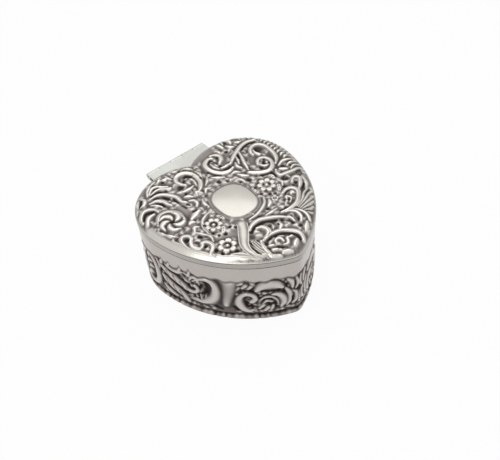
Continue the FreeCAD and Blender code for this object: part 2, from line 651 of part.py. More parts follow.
# Spring barrel, mainspring and the crown wheel that closes it
def make_barrel():
    barrel = post(KEY_X, MOVE_Y, BARREL_R, BARREL_Z, BARREL_TOP)
    barrel = barrel.cut(post(KEY_X, MOVE_Y, BARREL_R - BARREL_T, BARREL_Z + BARREL_T, BARREL_TOP))
    save("spring_barrel", barrel.cut(post(KEY_X, MOVE_Y, ARBOR_R + RUN_FIT, BARREL_Z, BARREL_TOP)))

    crown = post(0, 0, BARREL_R, BARREL_TOP, CROWN_Z)
    near = CROWN_R - CROWN_TOOTH_W / 2
    half = CROWN_TOOTH_T / 2
    teeth = []
    for number in range(CROWN_TEETH):
        tooth = block(near, near + CROWN_TOOTH_W, -half, half, CROWN_Z, CROWN_Z + CROWN_TOOTH_H)
        tooth.rotate(ORIGIN, UP, 360 * (number + 0.5) / CROWN_TEETH)
        teeth.append(tooth)
    crown = crown.multiFuse(teeth)
    crown = crown.cut(post(0, 0, ARBOR_TOP_R + RUN_FIT, BARREL_TOP, CROWN_Z))
    crown.translate(V(KEY_X, MOVE_Y, 0))
    save("crown_wheel", crown)

    outer, inner = [], []
    first = CORE_R + END_PLAY + MAIN_T / 2
    r, cx = first, 0.0
    for number in range(2 * MAIN_TURNS):
        sign = 1 if number % 2 == 0 else -1
        for chain, radius in ((outer, r + MAIN_T / 2), (inner, r - MAIN_T / 2)):
            ends = [V(cx + sign * radius, 0, 0), V(cx, sign * radius, 0), V(cx - sign * radius, 0, 0)]
            chain.append(Part.Arc(*ends).toShape())
        cx += sign * MAIN_PITCH / 2
        r += MAIN_PITCH / 2
    caps = [Part.makeLine(outer[0].Vertexes[0].Point, inner[0].Vertexes[0].Point),
            Part.makeLine(outer[-1].Vertexes[1].Point, inner[-1].Vertexes[1].Point)]
    strip = Part.Wire(Part.__sortEdges__(outer + inner + caps))
    low, high = BARREL_Z + BARREL_T + END_PLAY, BARREL_TOP - END_PLAY
    spring = Part.Face(strip).extrude(V(0, 0, high - low))
    spring.translate(V(KEY_X, MOVE_Y, low))
    save("mainspring", spring)


# Pinned cylinder with its arbor and wheel
def make_cylinder():
    drum = rod_x(0, DRUM_L, 0, 0, DRUM_R)
    pins = []
    for note in range(NOTES):
        for number in range(PINS_A_NOTE):
            pin = Part.makeCylinder(NOTE_PIN_R, PIN_ROOT + NOTE_PIN_H, V((note + 0.5) * NOTE_PITCH, 0, DRUM_R - PIN_ROOT))
            pin.rotate(ORIGIN, ALONG, 360 * (number + (note * 7 % NOTES) / NOTES) / PINS_A_NOTE)
            pins.append(pin)
    drum = drum.multiFuse(pins).cut(rod_x(0, DRUM_L, 0, 0, AXLE_R))
    drum.translate(V(DRUM_X, MOVE_Y, AXIS_Z))
    save("cylinder", drum)

    arbor = rod_x(DRIVEN_X, RIGHT_X + PILLAR_T + SIDE_GAP / 2, 0, 0, AXLE_R)
    pinion = gear(DRIVEN_TEETH, DRIVEN_R, DRIVEN_ADD, DRIVEN_DED, DRIVEN_W, 0)
    pinion.translate(V(DRIVEN_X, 0, 0))
    arbor = arbor.fuse(pinion).removeSplitter()
    arbor.translate(V(0, MOVE_Y, AXIS_Z))
    save("cylinder_arbor", arbor)

    wheel = gear(WHEEL_TEETH, WHEEL_R, SPUR_ADD, SPUR_DED, SPUR_W, 0)
    wheel = wheel.cut(rod_x(0, SPUR_W, 0, 0, AXLE_R))
    wheel.translate(V(WHEEL_X, MOVE_Y, AXIS_Z))
    save("cylinder_wheel", wheel)


# Pillars that carry the cylinder
PILLAR_SCREWS = [(LEFT_X + PILLAR_T + FOOT_L / 2, MOVE_Y), (RIGHT_X - FOOT_L / 2, MOVE_Y)]


def pillar(x, foot_x):
    near, far = MOVE_Y - PILLAR_HALF, MOVE_Y + PILLAR_HALF
    body = block(x, x + PILLAR_T, near, far, BED_TOP, AXIS_Z + PILLAR_UP)
    body = body.fuse(block(foot_x, foot_x + FOOT_L, near, far, BED_TOP, BED_TOP + FOOT_T))
    return body


def finish_pillar(name, body):
    for x, y in PILLAR_SCREWS:
        body = body.cut(screw_hole(x, y, BED_TOP, BED_TOP + FOOT_T))
    body = body.cut(rod_x(BED_X[0], BED_X[1], MOVE_Y, AXIS_Z, AXLE_R + RUN_FIT))
    body = body.cut(rod_x(BED_X[0], BED_X[1], STAFF_Y, AXIS_Z, STAFF_R + RUN_FIT))
    save(name, body.removeSplitter())


def make_pillars():
    finish_pillar("left_pillar", pillar(LEFT_X, LEFT_X + PILLAR_T))
    right = pillar(RIGHT_X, RIGHT_X - FOOT_L)
    arm_y = STAFF_Y + PILLAR_UP
    arm = block(RIGHT_X, RIGHT_X + PILLAR_T, MOVE_Y, arm_y, AXIS_Z - PILLAR_UP, AXIS_Z + PILLAR_UP)
    finish_pillar("right_pillar", right.fuse(arm))
    save("pillar_screws", Part.makeCompound(bed_screws(PILLAR_SCREWS)))


# Comb, the block that carries it and its screws
def make_comb():
    x1 = DRUM_X + DRUM_L
    low = AXIS_Z - COMB_T / 2
    comb = block(DRUM_X, x1, BLOCK_Y, TIP_Y, low, low + COMB_T)
    for slot in range(1, NOTES):
        x = DRUM_X + slot * NOTE_PITCH
        depth = COMB_LONG + (COMB_SHORT - COMB_LONG) * slot / NOTES
        comb = comb.cut(block(x - COMB_SLOT / 2, x + COMB_SLOT / 2, TIP_Y - depth, TIP_Y, low, low + COMB_T))
    body = block(DRUM_X, x1, BLOCK_Y, BLOCK_Y + COMB_BACK, BED_TOP, low)
    screws = []
    for number in range(COMB_SCREWS):
        x, y = DRUM_X + DRUM_L * (number + 0.5) / COMB_SCREWS, BLOCK_Y + COMB_BACK / 2
        comb = comb.cut(screw_hole(x, y, low, low + COMB_T))
        body = body.cut(screw_hole(x, y, BED_TOP + COMB_T, low))
        screws.append(screw(x, y, low + COMB_T, COMB_BACK, False))
    save("comb", comb)
    save("comb_block", body)
    save("comb_screws", Part.makeCompound(screws))


# Governor: staff with its leaves, worm wheel, worm, fly and bracket
BRACKET_SCREWS = [(BRACKET_FAR + FOOT_L / 2, (BRACKET_Y[0] + BRACKET_Y[1]) / 2)]


def make_governor():
    leaf_x = WHEEL_X + SIDE_GAP / 4
    staff = rod_x(leaf_x, BRACKET_FAR, 0, 0, STAFF_R)
    leaves = gear(LEAF_TEETH, LEAF_R, SPUR_ADD, SPUR_DED, SPUR_W, 0.5)
    leaves.translate(V(leaf_x, 0, 0))
    staff = staff.fuse(leaves).removeSplitter()
    staff.translate(V(0, STAFF_Y, AXIS_Z))
    save("governor_staff", staff)

    wheel = gear(WORM_WHEEL_TEETH, WORM_WHEEL_R, WORM_WHEEL_ADD, WORM_WHEEL_DED, WORM_WHEEL_W, 0.5)
    wheel = wheel.cut(rod_x(0, WORM_WHEEL_W, 0, 0, STAFF_R))
    wheel.translate(V(WORM_WHEEL_X, STAFF_Y, AXIS_Z))
    save("worm_wheel", wheel)

    helix = Part.makeHelix(WORM_PITCH, WORM_PITCH * WORM_TURNS, WORM_CORE_R)
    bite = (WORM_TIP_R - WORM_CORE_R) / 8
    rise = [(WORM_CORE_R - bite, THREAD_ROOT / 2), (WORM_TIP_R, THREAD_TIP / 2)]
    corners = [V(r, 0, h) for r, h in rise] + [V(r, 0, -h) for r, h in rise[::-1]]
    thread = Part.Wire(helix.Edges).makePipeShell([Part.makePolygon(corners + corners[:1])], True, True)
    thread.rotate(ORIGIN, UP, -90)
    thread.translate(V(0, 0, AXIS_Z - WORM_PITCH * WORM_TURNS / 2))
    shaft = post(0, 0, WORM_SHAFT_R, FLY_Z, ARM_Z - END_PLAY)
    low, high = AXIS_Z - WORM_PITCH * (WORM_TURNS + 1) / 2, AXIS_Z + WORM_PITCH * (WORM_TURNS + 1) / 2
    shaft = shaft.fuse(post(0, 0, WORM_CORE_R, low, high)).fuse(thread)
    shaft = shaft.fuse(post(0, 0, TIP_PIVOT_R, BED_Z + BED_T / 2, ARM_Z + BRACKET_T - END_PLAY))
    shaft.translate(V(FLY_X, FLY_Y, 0))
    save("worm_shaft", shaft)

    fly = post(0, 0, FLY_HUB_R, FLY_Z, DISC_TOP).fuse(post(0, 0, DISC_R, DISC_TOP - DISC_T, DISC_TOP))
    fly = fly.fuse(block(-BLADE_R, BLADE_R, -BLADE_T / 2, BLADE_T / 2, FLY_Z, FLY_Z + BLADE_H))
    fly = fly.cut(post(0, 0, WORM_SHAFT_R, FLY_Z, DISC_TOP))
    fly.translate(V(FLY_X, FLY_Y, 0))
    save("fly", fly.removeSplitter())

    top = ARM_Z + BRACKET_T
    far = BRACKET_FAR
    bracket = block(BRACKET_X, far, BRACKET_Y[0], BRACKET_Y[1], BED_TOP, top)
    bracket = bracket.fuse(block(BRACKET_X, far, BRACKET_Y[0], FLY_Y + ARM_HALF, BRACKET_STEP_Z, top))
    bracket = bracket.fuse(block(FLY_X - ARM_HALF, far, FLY_Y - ARM_HALF, FLY_Y + ARM_HALF, ARM_Z, top))
    bracket = bracket.fuse(block(far, far + FOOT_L, BRACKET_Y[0], BRACKET_Y[1], BED_TOP, BED_TOP + FOOT_T))
    bracket = bracket.cut(post(FLY_X, FLY_Y, TIP_PIVOT_R + RUN_FIT, ARM_Z, top))
    bracket = bracket.cut(rod_x(BRACKET_X, far, STAFF_Y, AXIS_Z, STAFF_R + RUN_FIT))
    for x, y in BRACKET_SCREWS:
        bracket = bracket.cut(screw_hole(x, y, BED_TOP, BED_TOP + FOOT_T))
    save("governor_bracket", bracket.removeSplitter())
    save("bracket_screw", bed_screws(BRACKET_SCREWS)[0])
    save("endstone", post(FLY_X, FLY_Y, STONE_R, top, top + STONE_T))


# Stop rod, its guide, spring and brake
def make_stop():
    rod = post(FLY_X, ROD_Y, ROD_R, ROD_Z, ROD_TOP)
    tip = [edge for edge in rod.Edges if abs(edge.CenterOfMass.z - ROD_TOP) < END_PLAY]
    save("stop_rod", rod.makeFillet(ROD_ROUND, tip))
    x0, x1 = FLY_X - FINGER_HALF, FLY_X + FINGER_HALF
    near = FLY_Y + BRAKE_IN
    arm = block(x0, x1, near, ROD_Y, FINGER_Z, FINGER_Z + FINGER_T)
    arm = arm.fuse(post(FLY_X, ROD_Y, ROD_COLLAR_R, FINGER_Z, FINGER_Z + FINGER_T))
    arm = arm.cut(post(FLY_X, ROD_Y, ROD_R, FINGER_Z, FINGER_Z + FINGER_T))
    save("brake_arm", arm.removeSplitter())
    save("brake_pad", block(x0, x1, near, FLY_Y + DISC_R, DISC_TOP + BRAKE_GAP, FINGER_Z))
    guide = post(FLY_X, ROD_Y, GUIDE_R, BED_TOP, BED_TOP + GUIDE_H)
    save("rod_guide", guide.cut(post(FLY_X, ROD_Y, ROD_R + RUN_FIT, BED_TOP, BED_TOP + GUIDE_H)))
    low, high = BED_TOP + GUIDE_H + COIL_WIRE_R + RUN_FIT, FINGER_Z - COIL_WIRE_R - RUN_FIT
    save("rod_spring", coil(FLY_X, ROD_Y, low, COIL_R, COIL_WIRE_R, (high - low) / COIL_TURNS, COIL_TURNS))


make_case()
make_lid()
make_hinge()
make_tray()
make_bed()
make_bridge()
make_key()
make_barrel()
make_cylinder()
make_pillars()
make_comb()
make_governor()
make_stop()
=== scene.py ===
"""Looks of the wind up music box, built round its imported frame. Sizes in mm, or in m where a name ends so."""
import json
import math

import bpy
import numpy as np
from mathutils import Matrix, Vector
from mathutils.geometry import delaunay_2d_cdt


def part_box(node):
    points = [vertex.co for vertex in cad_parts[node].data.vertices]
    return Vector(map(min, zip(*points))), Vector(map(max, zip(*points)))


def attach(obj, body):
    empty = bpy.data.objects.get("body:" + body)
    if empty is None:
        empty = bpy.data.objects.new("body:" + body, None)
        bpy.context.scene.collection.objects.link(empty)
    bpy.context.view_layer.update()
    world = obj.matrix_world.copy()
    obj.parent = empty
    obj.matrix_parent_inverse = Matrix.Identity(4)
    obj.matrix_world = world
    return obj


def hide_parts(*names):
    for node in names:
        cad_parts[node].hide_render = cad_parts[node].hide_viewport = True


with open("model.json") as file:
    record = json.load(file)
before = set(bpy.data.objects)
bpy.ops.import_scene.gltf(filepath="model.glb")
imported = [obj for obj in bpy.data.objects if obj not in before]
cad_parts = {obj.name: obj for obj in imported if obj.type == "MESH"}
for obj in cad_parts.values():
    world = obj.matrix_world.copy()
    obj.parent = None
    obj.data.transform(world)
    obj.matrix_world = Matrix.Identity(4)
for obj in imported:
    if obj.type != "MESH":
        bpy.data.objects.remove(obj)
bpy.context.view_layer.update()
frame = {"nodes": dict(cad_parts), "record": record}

MM = 0.001

# heart outline, as the part has it, measured from the line through the lobe centres
HEART_W = 100.0
LOBE_X = 18.2
LOBE_R = HEART_W / 2 - LOBE_X
SIDE_R = 76.0
SIDE_TURN = math.radians(-5.4)
TIP_R = 8.4
SIDE_CX = LOBE_X - (SIDE_R - LOBE_R) * math.cos(SIDE_TURN)
SIDE_CY = -(SIDE_R - LOBE_R) * math.sin(SIDE_TURN)
TIP_CY = SIDE_CY - math.sqrt((SIDE_R - TIP_R) ** 2 - SIDE_CX ** 2)
TIP_TURN = math.atan2(TIP_CY - SIDE_CY, -SIDE_CX)
LOBE_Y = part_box("lid_shell")[0].y / MM + TIP_R - TIP_CY

# heights and thickness, as the part has them
SEAM_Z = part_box("case_wall")[1].z / MM
SKIRT_H = 4.2
RIM_Z = SEAM_Z + SKIRT_H
DOME_RISE = 3.2
DOME_IN = 6.0
TOP_Z = RIM_Z + DOME_RISE
LID_T = 1.0
# how far the wall's surfaces lie inside the outline
FRIEZE_IN = 1.15
BAND_IN = 0.4
FOOT_IN = 0.6


def rising(value, start, over):
    """0 up to start, then evenly up to 1."""
    return np.clip((value - start) / over, 0, 1)


def falling(value, end, over):
    """Evenly down from 1, and 0 from end on."""
    return np.clip((end - value) / over, 0, 1)


def depth_in(x, y):
    """Distance inside the heart's outline, for arrays of points."""
    x = np.abs(x)
    turn = np.arctan2(y - SIDE_CY, x - SIDE_CX)
    lobe = LOBE_R - np.hypot(x - LOBE_X, y)
    side = SIDE_R - np.hypot(x - SIDE_CX, y - SIDE_CY)
    tip = TIP_R - np.hypot(x, y - TIP_CY)
    return np.where(turn > SIDE_TURN, lobe, np.where(turn < TIP_TURN, tip, side))


def dome_rise(depth):
    """Height of the lid's dome over its rim, this far inside the outline."""
    return DOME_RISE * (1 - (1 - rising(depth, 0.0, DOME_IN)) ** 2)


def outline(step):
    """Points, outward normals and distances from the tip, round the whole heart from notch to notch."""
    arcs = (
        (0.0, TIP_CY, TIP_R, -math.pi / 2, TIP_TURN),
        (SIDE_CX, SIDE_CY, SIDE_R, TIP_TURN, SIDE_TURN),
        (LOBE_X, 0.0, LOBE_R, SIDE_TURN, math.pi - math.acos(LOBE_X / LOBE_R)),
    )
    rows = []
    gone = 0.0
    for cx, cy, r, start, stop in arcs:
        count = max(3, int(round(r * (stop - start) / step)))
        turn = start + (stop - start) * np.arange(count + 1) / count
        at = np.stack([np.cos(turn), np.sin(turn)], 1)
        rows.append(np.column_stack([(cx, cy) + r * at, at, gone + r * (turn - start)]))
        gone += r * (stop - start)
    # each arc starts where the one before it ends
    right = np.vstack([row[:-1] for row in rows] + [rows[-1][-1:]])
    left = right[1:-1][::-1] * (-1, 1, -1, 1, -1)
    right[-1, 0] = 0.0
    right[-1, 2:4] = 0.0, 1.0
    return np.vstack([left, right])


def along(line):
    """Distance of each point of the outline from the tip, negative on the left."""
    return line[:, 4]


def ring_at(line, inset):
    """The outline moved in by inset, one value or one a point, kept on its own side of the mid plane."""
    p = line[:, 0:2] - np.reshape(inset, (-1, 1)) * line[:, 2:4]
    crossed = np.sign(p[:, 0]) * np.sign(line[:, 0]) < 0
    p[crossed, 0] = 0.0
    return p


def lift(flat, z):
    """Points of the heart's own plane, put at a height in the shared frame."""
    return np.column_stack([flat[:, 0], flat[:, 1] + LOBE_Y, np.broadcast_to(z, len(flat))])


# Relief drawing

# thin ribs rise less: the share of the height at no radius, and the gain a mm
RIB_LEAST = 0.3
RIB_GAIN = 0.6
# furrow along a broad rib: shift to the side as a share of the rib's radius, own radius, depth
CHANNEL_SIDE = 0.25
CHANNEL_R = 0.42
CHANNEL_DEEP = 0.38
# stem: shares of width and height for its flat, radius and share of height for its lips
FLAT_W = 0.92
FLAT_H = 0.62
LIP_R = 0.45
LIP_END_R = LIP_R * 0.7
LIP_H = 1.15
# flower: radius of its button, radius and width of the dark ring, as shares of its own
EYE = 0.2
EYE_RING = 0.3
EYE_RING_W = 0.11
# as shares of its height: the button, and the depth of the dark ring
EYE_HIGH = 0.75
EYE_DEEP = 0.6
# its petals: share of the radius in the notches, what the lobes add, and the power of their line
PETAL_LINE = (0.68, 0.32, 0.7)
# share of the height in the middle, and what is added out to the rim; width and power of the round rim
PETAL_DISH = (0.5, 0.3)
PETAL_RIM = (0.22, 0.6)
# share left in the furrows between petals, what is added beside them, and how steeply
PETAL_FURROW = (0.62, 0.38, 2.2)
# leaf: radius and share of the height for midrib and veins, and how far these run on and out, in widths
MIDRIB = (0.28, 0.45)
VEIN = (0.2, 0.3)
VEIN_RUN = (0.5, 0.8)
# small leaves, on ground below BARE: scatter in steps, ranges of curl, half length, radius and height
BARE = 0.22
SCATTER = 0.3
SMALL_CURL = (0.4, 0.9)
SMALL_LONG = (1.6, 2.6)
SMALL_R = (1.1, 1.6)
SMALL_HIGH = (0.35, 0.6)
SMALL_TIP_R = 0.5


def smooth_path(points, step=0.25):
    """Even points along a smooth line through a few chosen ones."""
    p = np.array(points, float)
    ends = np.vstack([2 * p[0] - p[1], p, 2 * p[-1] - p[-2]])
    out = []
    for i in range(1, len(ends) - 2):
        a, b, c, d = ends[i - 1:i + 3]
        count = max(2, int(np.linalg.norm(c - b) / step))
        t = np.linspace(0, 1, count, endpoint=False)[:, None]
        out.append(0.5 * (2 * b + (c - a) * t + (2 * a - 5 * b + 4 * c - d) * t ** 2
                          + (3 * b - a - 3 * c + d) * t ** 3))
    out.append(p[-1:])
    return np.vstack(out)


def flanks(points):
    """A smooth line with its headings and its left-hand normals."""
    path = smooth_path(points, step=0.5)
    head = np.gradient(path, axis=0)
    head /= np.maximum(np.linalg.norm(head, axis=1), 1e-9)[:, None]
    return path, head, np.stack([-head[:, 1], head[:, 0]], 1)


def spread(values, path):
    """Values given evenly along a path, at each of its points."""
    return np.interp(np.linspace(0, 1, len(path)), np.linspace(0, 1, len(values)), values)


class Relief:
    """A height map to draw on. A rib has a crest, more or less keen, on a wide swell."""

    def __init__(self, x0, x1, y0, y1, cell, keen, wide):
        self.x0, self.y0, self.cell, self.keen, self.wide = x0, y0, cell, keen, wide
        self.nx = int(round((x1 - x0) / cell)) + 1
        self.ny = int(round((y1 - y0) / cell)) + 1
        self.h = np.zeros((self.ny, self.nx))

    def grid(self):
        return np.meshgrid(self.x0 + np.arange(self.nx) * self.cell, self.y0 + np.arange(self.ny) * self.cell)

    def window(self, x, y, reach):
        """Rows and columns of the map near a point, if any, and how far they are from it."""
        i0 = max(0, int((x - reach - self.x0) / self.cell))
        i1 = max(i0, min(self.nx, int((x + reach - self.x0) / self.cell) + 2))
        j0 = max(0, int((y - reach - self.y0) / self.cell))
        j1 = max(j0, min(self.ny, int((y + reach - self.y0) / self.cell) + 2))
        dx = self.x0 + np.arange(i0, i1) * self.cell - x
        dy = self.y0 + np.arange(j0, j1) * self.cell - y
        return (slice(j0, j1), slice(i0, i1)), dx[None, :], dy[:, None]

    def rib(self, points, radii, high):
        path = smooth_path(points)
        for (x, y), r in zip(path, spread(radii, path)):
            at, dx, dy = self.window(x, y, self.wide * r)
            u = (dx ** 2 + dy ** 2) / (r * r)
            swell = np.clip(1 - u / self.wide ** 2, 0, 1) ** 2
            crest = np.clip(1 - u, 0, 1)
            stamp = high * min(1.0, RIB_LEAST + RIB_GAIN * r) * ((1 - self.keen) * swell + self.keen * crest)
            self.h[at] = np.maximum(self.h[at], stamp)

    def channel(self, points, radii):
        """A thin furrow along one flank of a broad rib, as on a rolled leaf."""
        path, _, side = flanks(points)
        line = path + side * (CHANNEL_SIDE * spread(radii, path))[:, None]
        self.groove(line[2:-2:3], CHANNEL_R, CHANNEL_DEEP)

    def band(self, points, width, high):
        """A flat stem with a bright lip on each edge; width is half of the real one, along the stem."""
        path, _, side = flanks(points)
        self.rib(points, [FLAT_W * w for w in width], high * FLAT_H)
        for sign in (-1, 1):
            edge = path + side * (spread(width, path) * sign)[:, None]
            self.rib(edge[::3], (LIP_END_R, LIP_R, LIP_END_R), high * LIP_H)

    def pit(self, x, y, r, deep):
        """A round hole with a flat bottom."""
        at, dx, dy = self.window(x, y, 2.2 * r)
        self.h[at] -= deep * np.exp(-((dx ** 2 + dy ** 2) / (r * r)) ** 2)

    def groove(self, points, r, deep):
        cut = np.zeros_like(self.h)
        for x, y in smooth_path(points):
            at, dx, dy = self.window(x, y, 2 * r)
            cut[at] = np.maximum(cut[at], np.exp(-((dx ** 2 + dy ** 2) / (r * r))))
        self.h -= deep * cut

    def flower(self, x, y, r, petals, turn, high):
        """Flat petals round a small button in a dark ring."""
        at, dx, dy = self.window(x, y, 1.1 * r)
        far = np.hypot(dx, dy)
        lobe = np.abs(np.cos(petals * (np.arctan2(dy, dx) + turn) / 2))
        # u is 1 on the notched outline; the petals are dished, round at the rim and furrowed between
        u = far / (r * (PETAL_LINE[0] + PETAL_LINE[1] * lobe ** PETAL_LINE[2]))
        dish = (PETAL_DISH[0] + PETAL_DISH[1] * u) * falling(u, 1, PETAL_RIM[0]) ** PETAL_RIM[1]
        petal = high * dish * (PETAL_FURROW[0] + PETAL_FURROW[1] * np.clip(PETAL_FURROW[2] * lobe, 0, 1))
        ring = -EYE_DEEP * high * np.exp(-((far - r * EYE_RING) / (EYE_RING_W * r)) ** 2)
        button = high * EYE_HIGH * np.sqrt(np.clip(1 - (far / (r * EYE)) ** 2, 0, 1))
        held = self.h[at]
        drawn = np.where(u < 1, np.maximum(petal, held * np.clip(3 * u - 2, 0, 1)) + ring, held)
        self.h[at] = np.where(far < r * EYE, np.maximum(button, drawn), drawn)

    def leaf(self, points, width, high, veins):
        """A pointed blade with a cut midrib and side veins."""
        self.rib(points, (0.25, 0.8 * width, width, 0.85 * width, 0.3), high)
        self.groove(points, MIDRIB[0], MIDRIB[1] * high)
        path, head, side = flanks(points)
        for k in range(veins):
            at = int((k + 1) / (veins + 1) * (len(path) - 1))
            for sign in (-1, 1):
                out = path[at] + head[at] * width * VEIN_RUN[0] + side[at] * sign * width * VEIN_RUN[1]
                self.groove([path[at], out], VEIN[0], VEIN[1] * high)

    def blur(self, reach):
        """Box blur in both directions, three times, which is close to a soft round one."""
        a = self.h.copy()
        n = max(1, int(reach / self.cell))
        for _ in range(3):
            for axis in (0, 1):
                pad = [(0, 0), (0, 0)]
                pad[axis] = (n + 1, n)
                c = np.cumsum(np.pad(a, pad, mode="edge"), axis)
                hi = np.take(c, range(2 * n + 1, c.shape[axis]), axis)
                lo = np.take(c, range(0, c.shape[axis] - 2 * n - 1), axis)
                a = (hi - lo) / (2 * n + 1)
        return a

    def soften(self, near, far):
        """Keeps the map blurred over a short and a long reach, for levels()."""
        self.low, self.broad = self.blur(near), self.blur(far)

    def levels(self, x, y):
        """Height at some points, and how far each stands over its near and its far surroundings."""
        h = self.sample(self.h, x, y)
        return h, h - self.sample(self.low, x, y), h - self.sample(self.broad, x, y)

    def sample(self, field, x, y):
        fx = np.clip((x - self.x0) / self.cell, 0, self.nx - 1.001)
        fy = np.clip((y - self.y0) / self.cell, 0, self.ny - 1.001)
        i, j = fx.astype(int), fy.astype(int)
        tx, ty = fx - i, fy - j
        return ((field[j, i] * (1 - tx) + field[j, i + 1] * tx) * (1 - ty)
                + (field[j + 1, i] * (1 - tx) + field[j + 1, i + 1] * tx) * ty)


def fill_ground(r, plain, step, seed, keep, grow=1.0, rise=1.0):
    """Small curled leaves wherever the ground is still bare and keep(x, y) allows one."""
    rng = np.random.default_rng(seed)
    for gy in np.arange(r.y0, r.y0 + r.ny * r.cell, step):
        for gx in np.arange(r.x0, r.x0 + r.nx * r.cell, step):
            x = gx + rng.uniform(-SCATTER, SCATTER) * step
            y = gy + rng.uniform(-SCATTER, SCATTER) * step
            turn, curl = rng.uniform(0, 2 * math.pi), rng.uniform(*SMALL_CURL) * rng.choice((-1, 1))
            long, fat, high = rng.uniform(*SMALL_LONG), rng.uniform(*SMALL_R), rng.uniform(*SMALL_HIGH)
            if not keep(x, y) or any(math.hypot(x - a, y - b) < c for a, b, c in plain):
                continue
            if r.sample(r.h, np.array([x]), np.array([y]))[0] > BARE:
                continue
            points = [(x + grow * long * k * math.cos(turn + curl * k),
                       y + grow * long * k * math.sin(turn + curl * k)) for k in (-1.0, 0.0, 1.0)]
            r.rib(points, (SMALL_TIP_R * grow, fat * grow, SMALL_TIP_R * grow), high * rise)
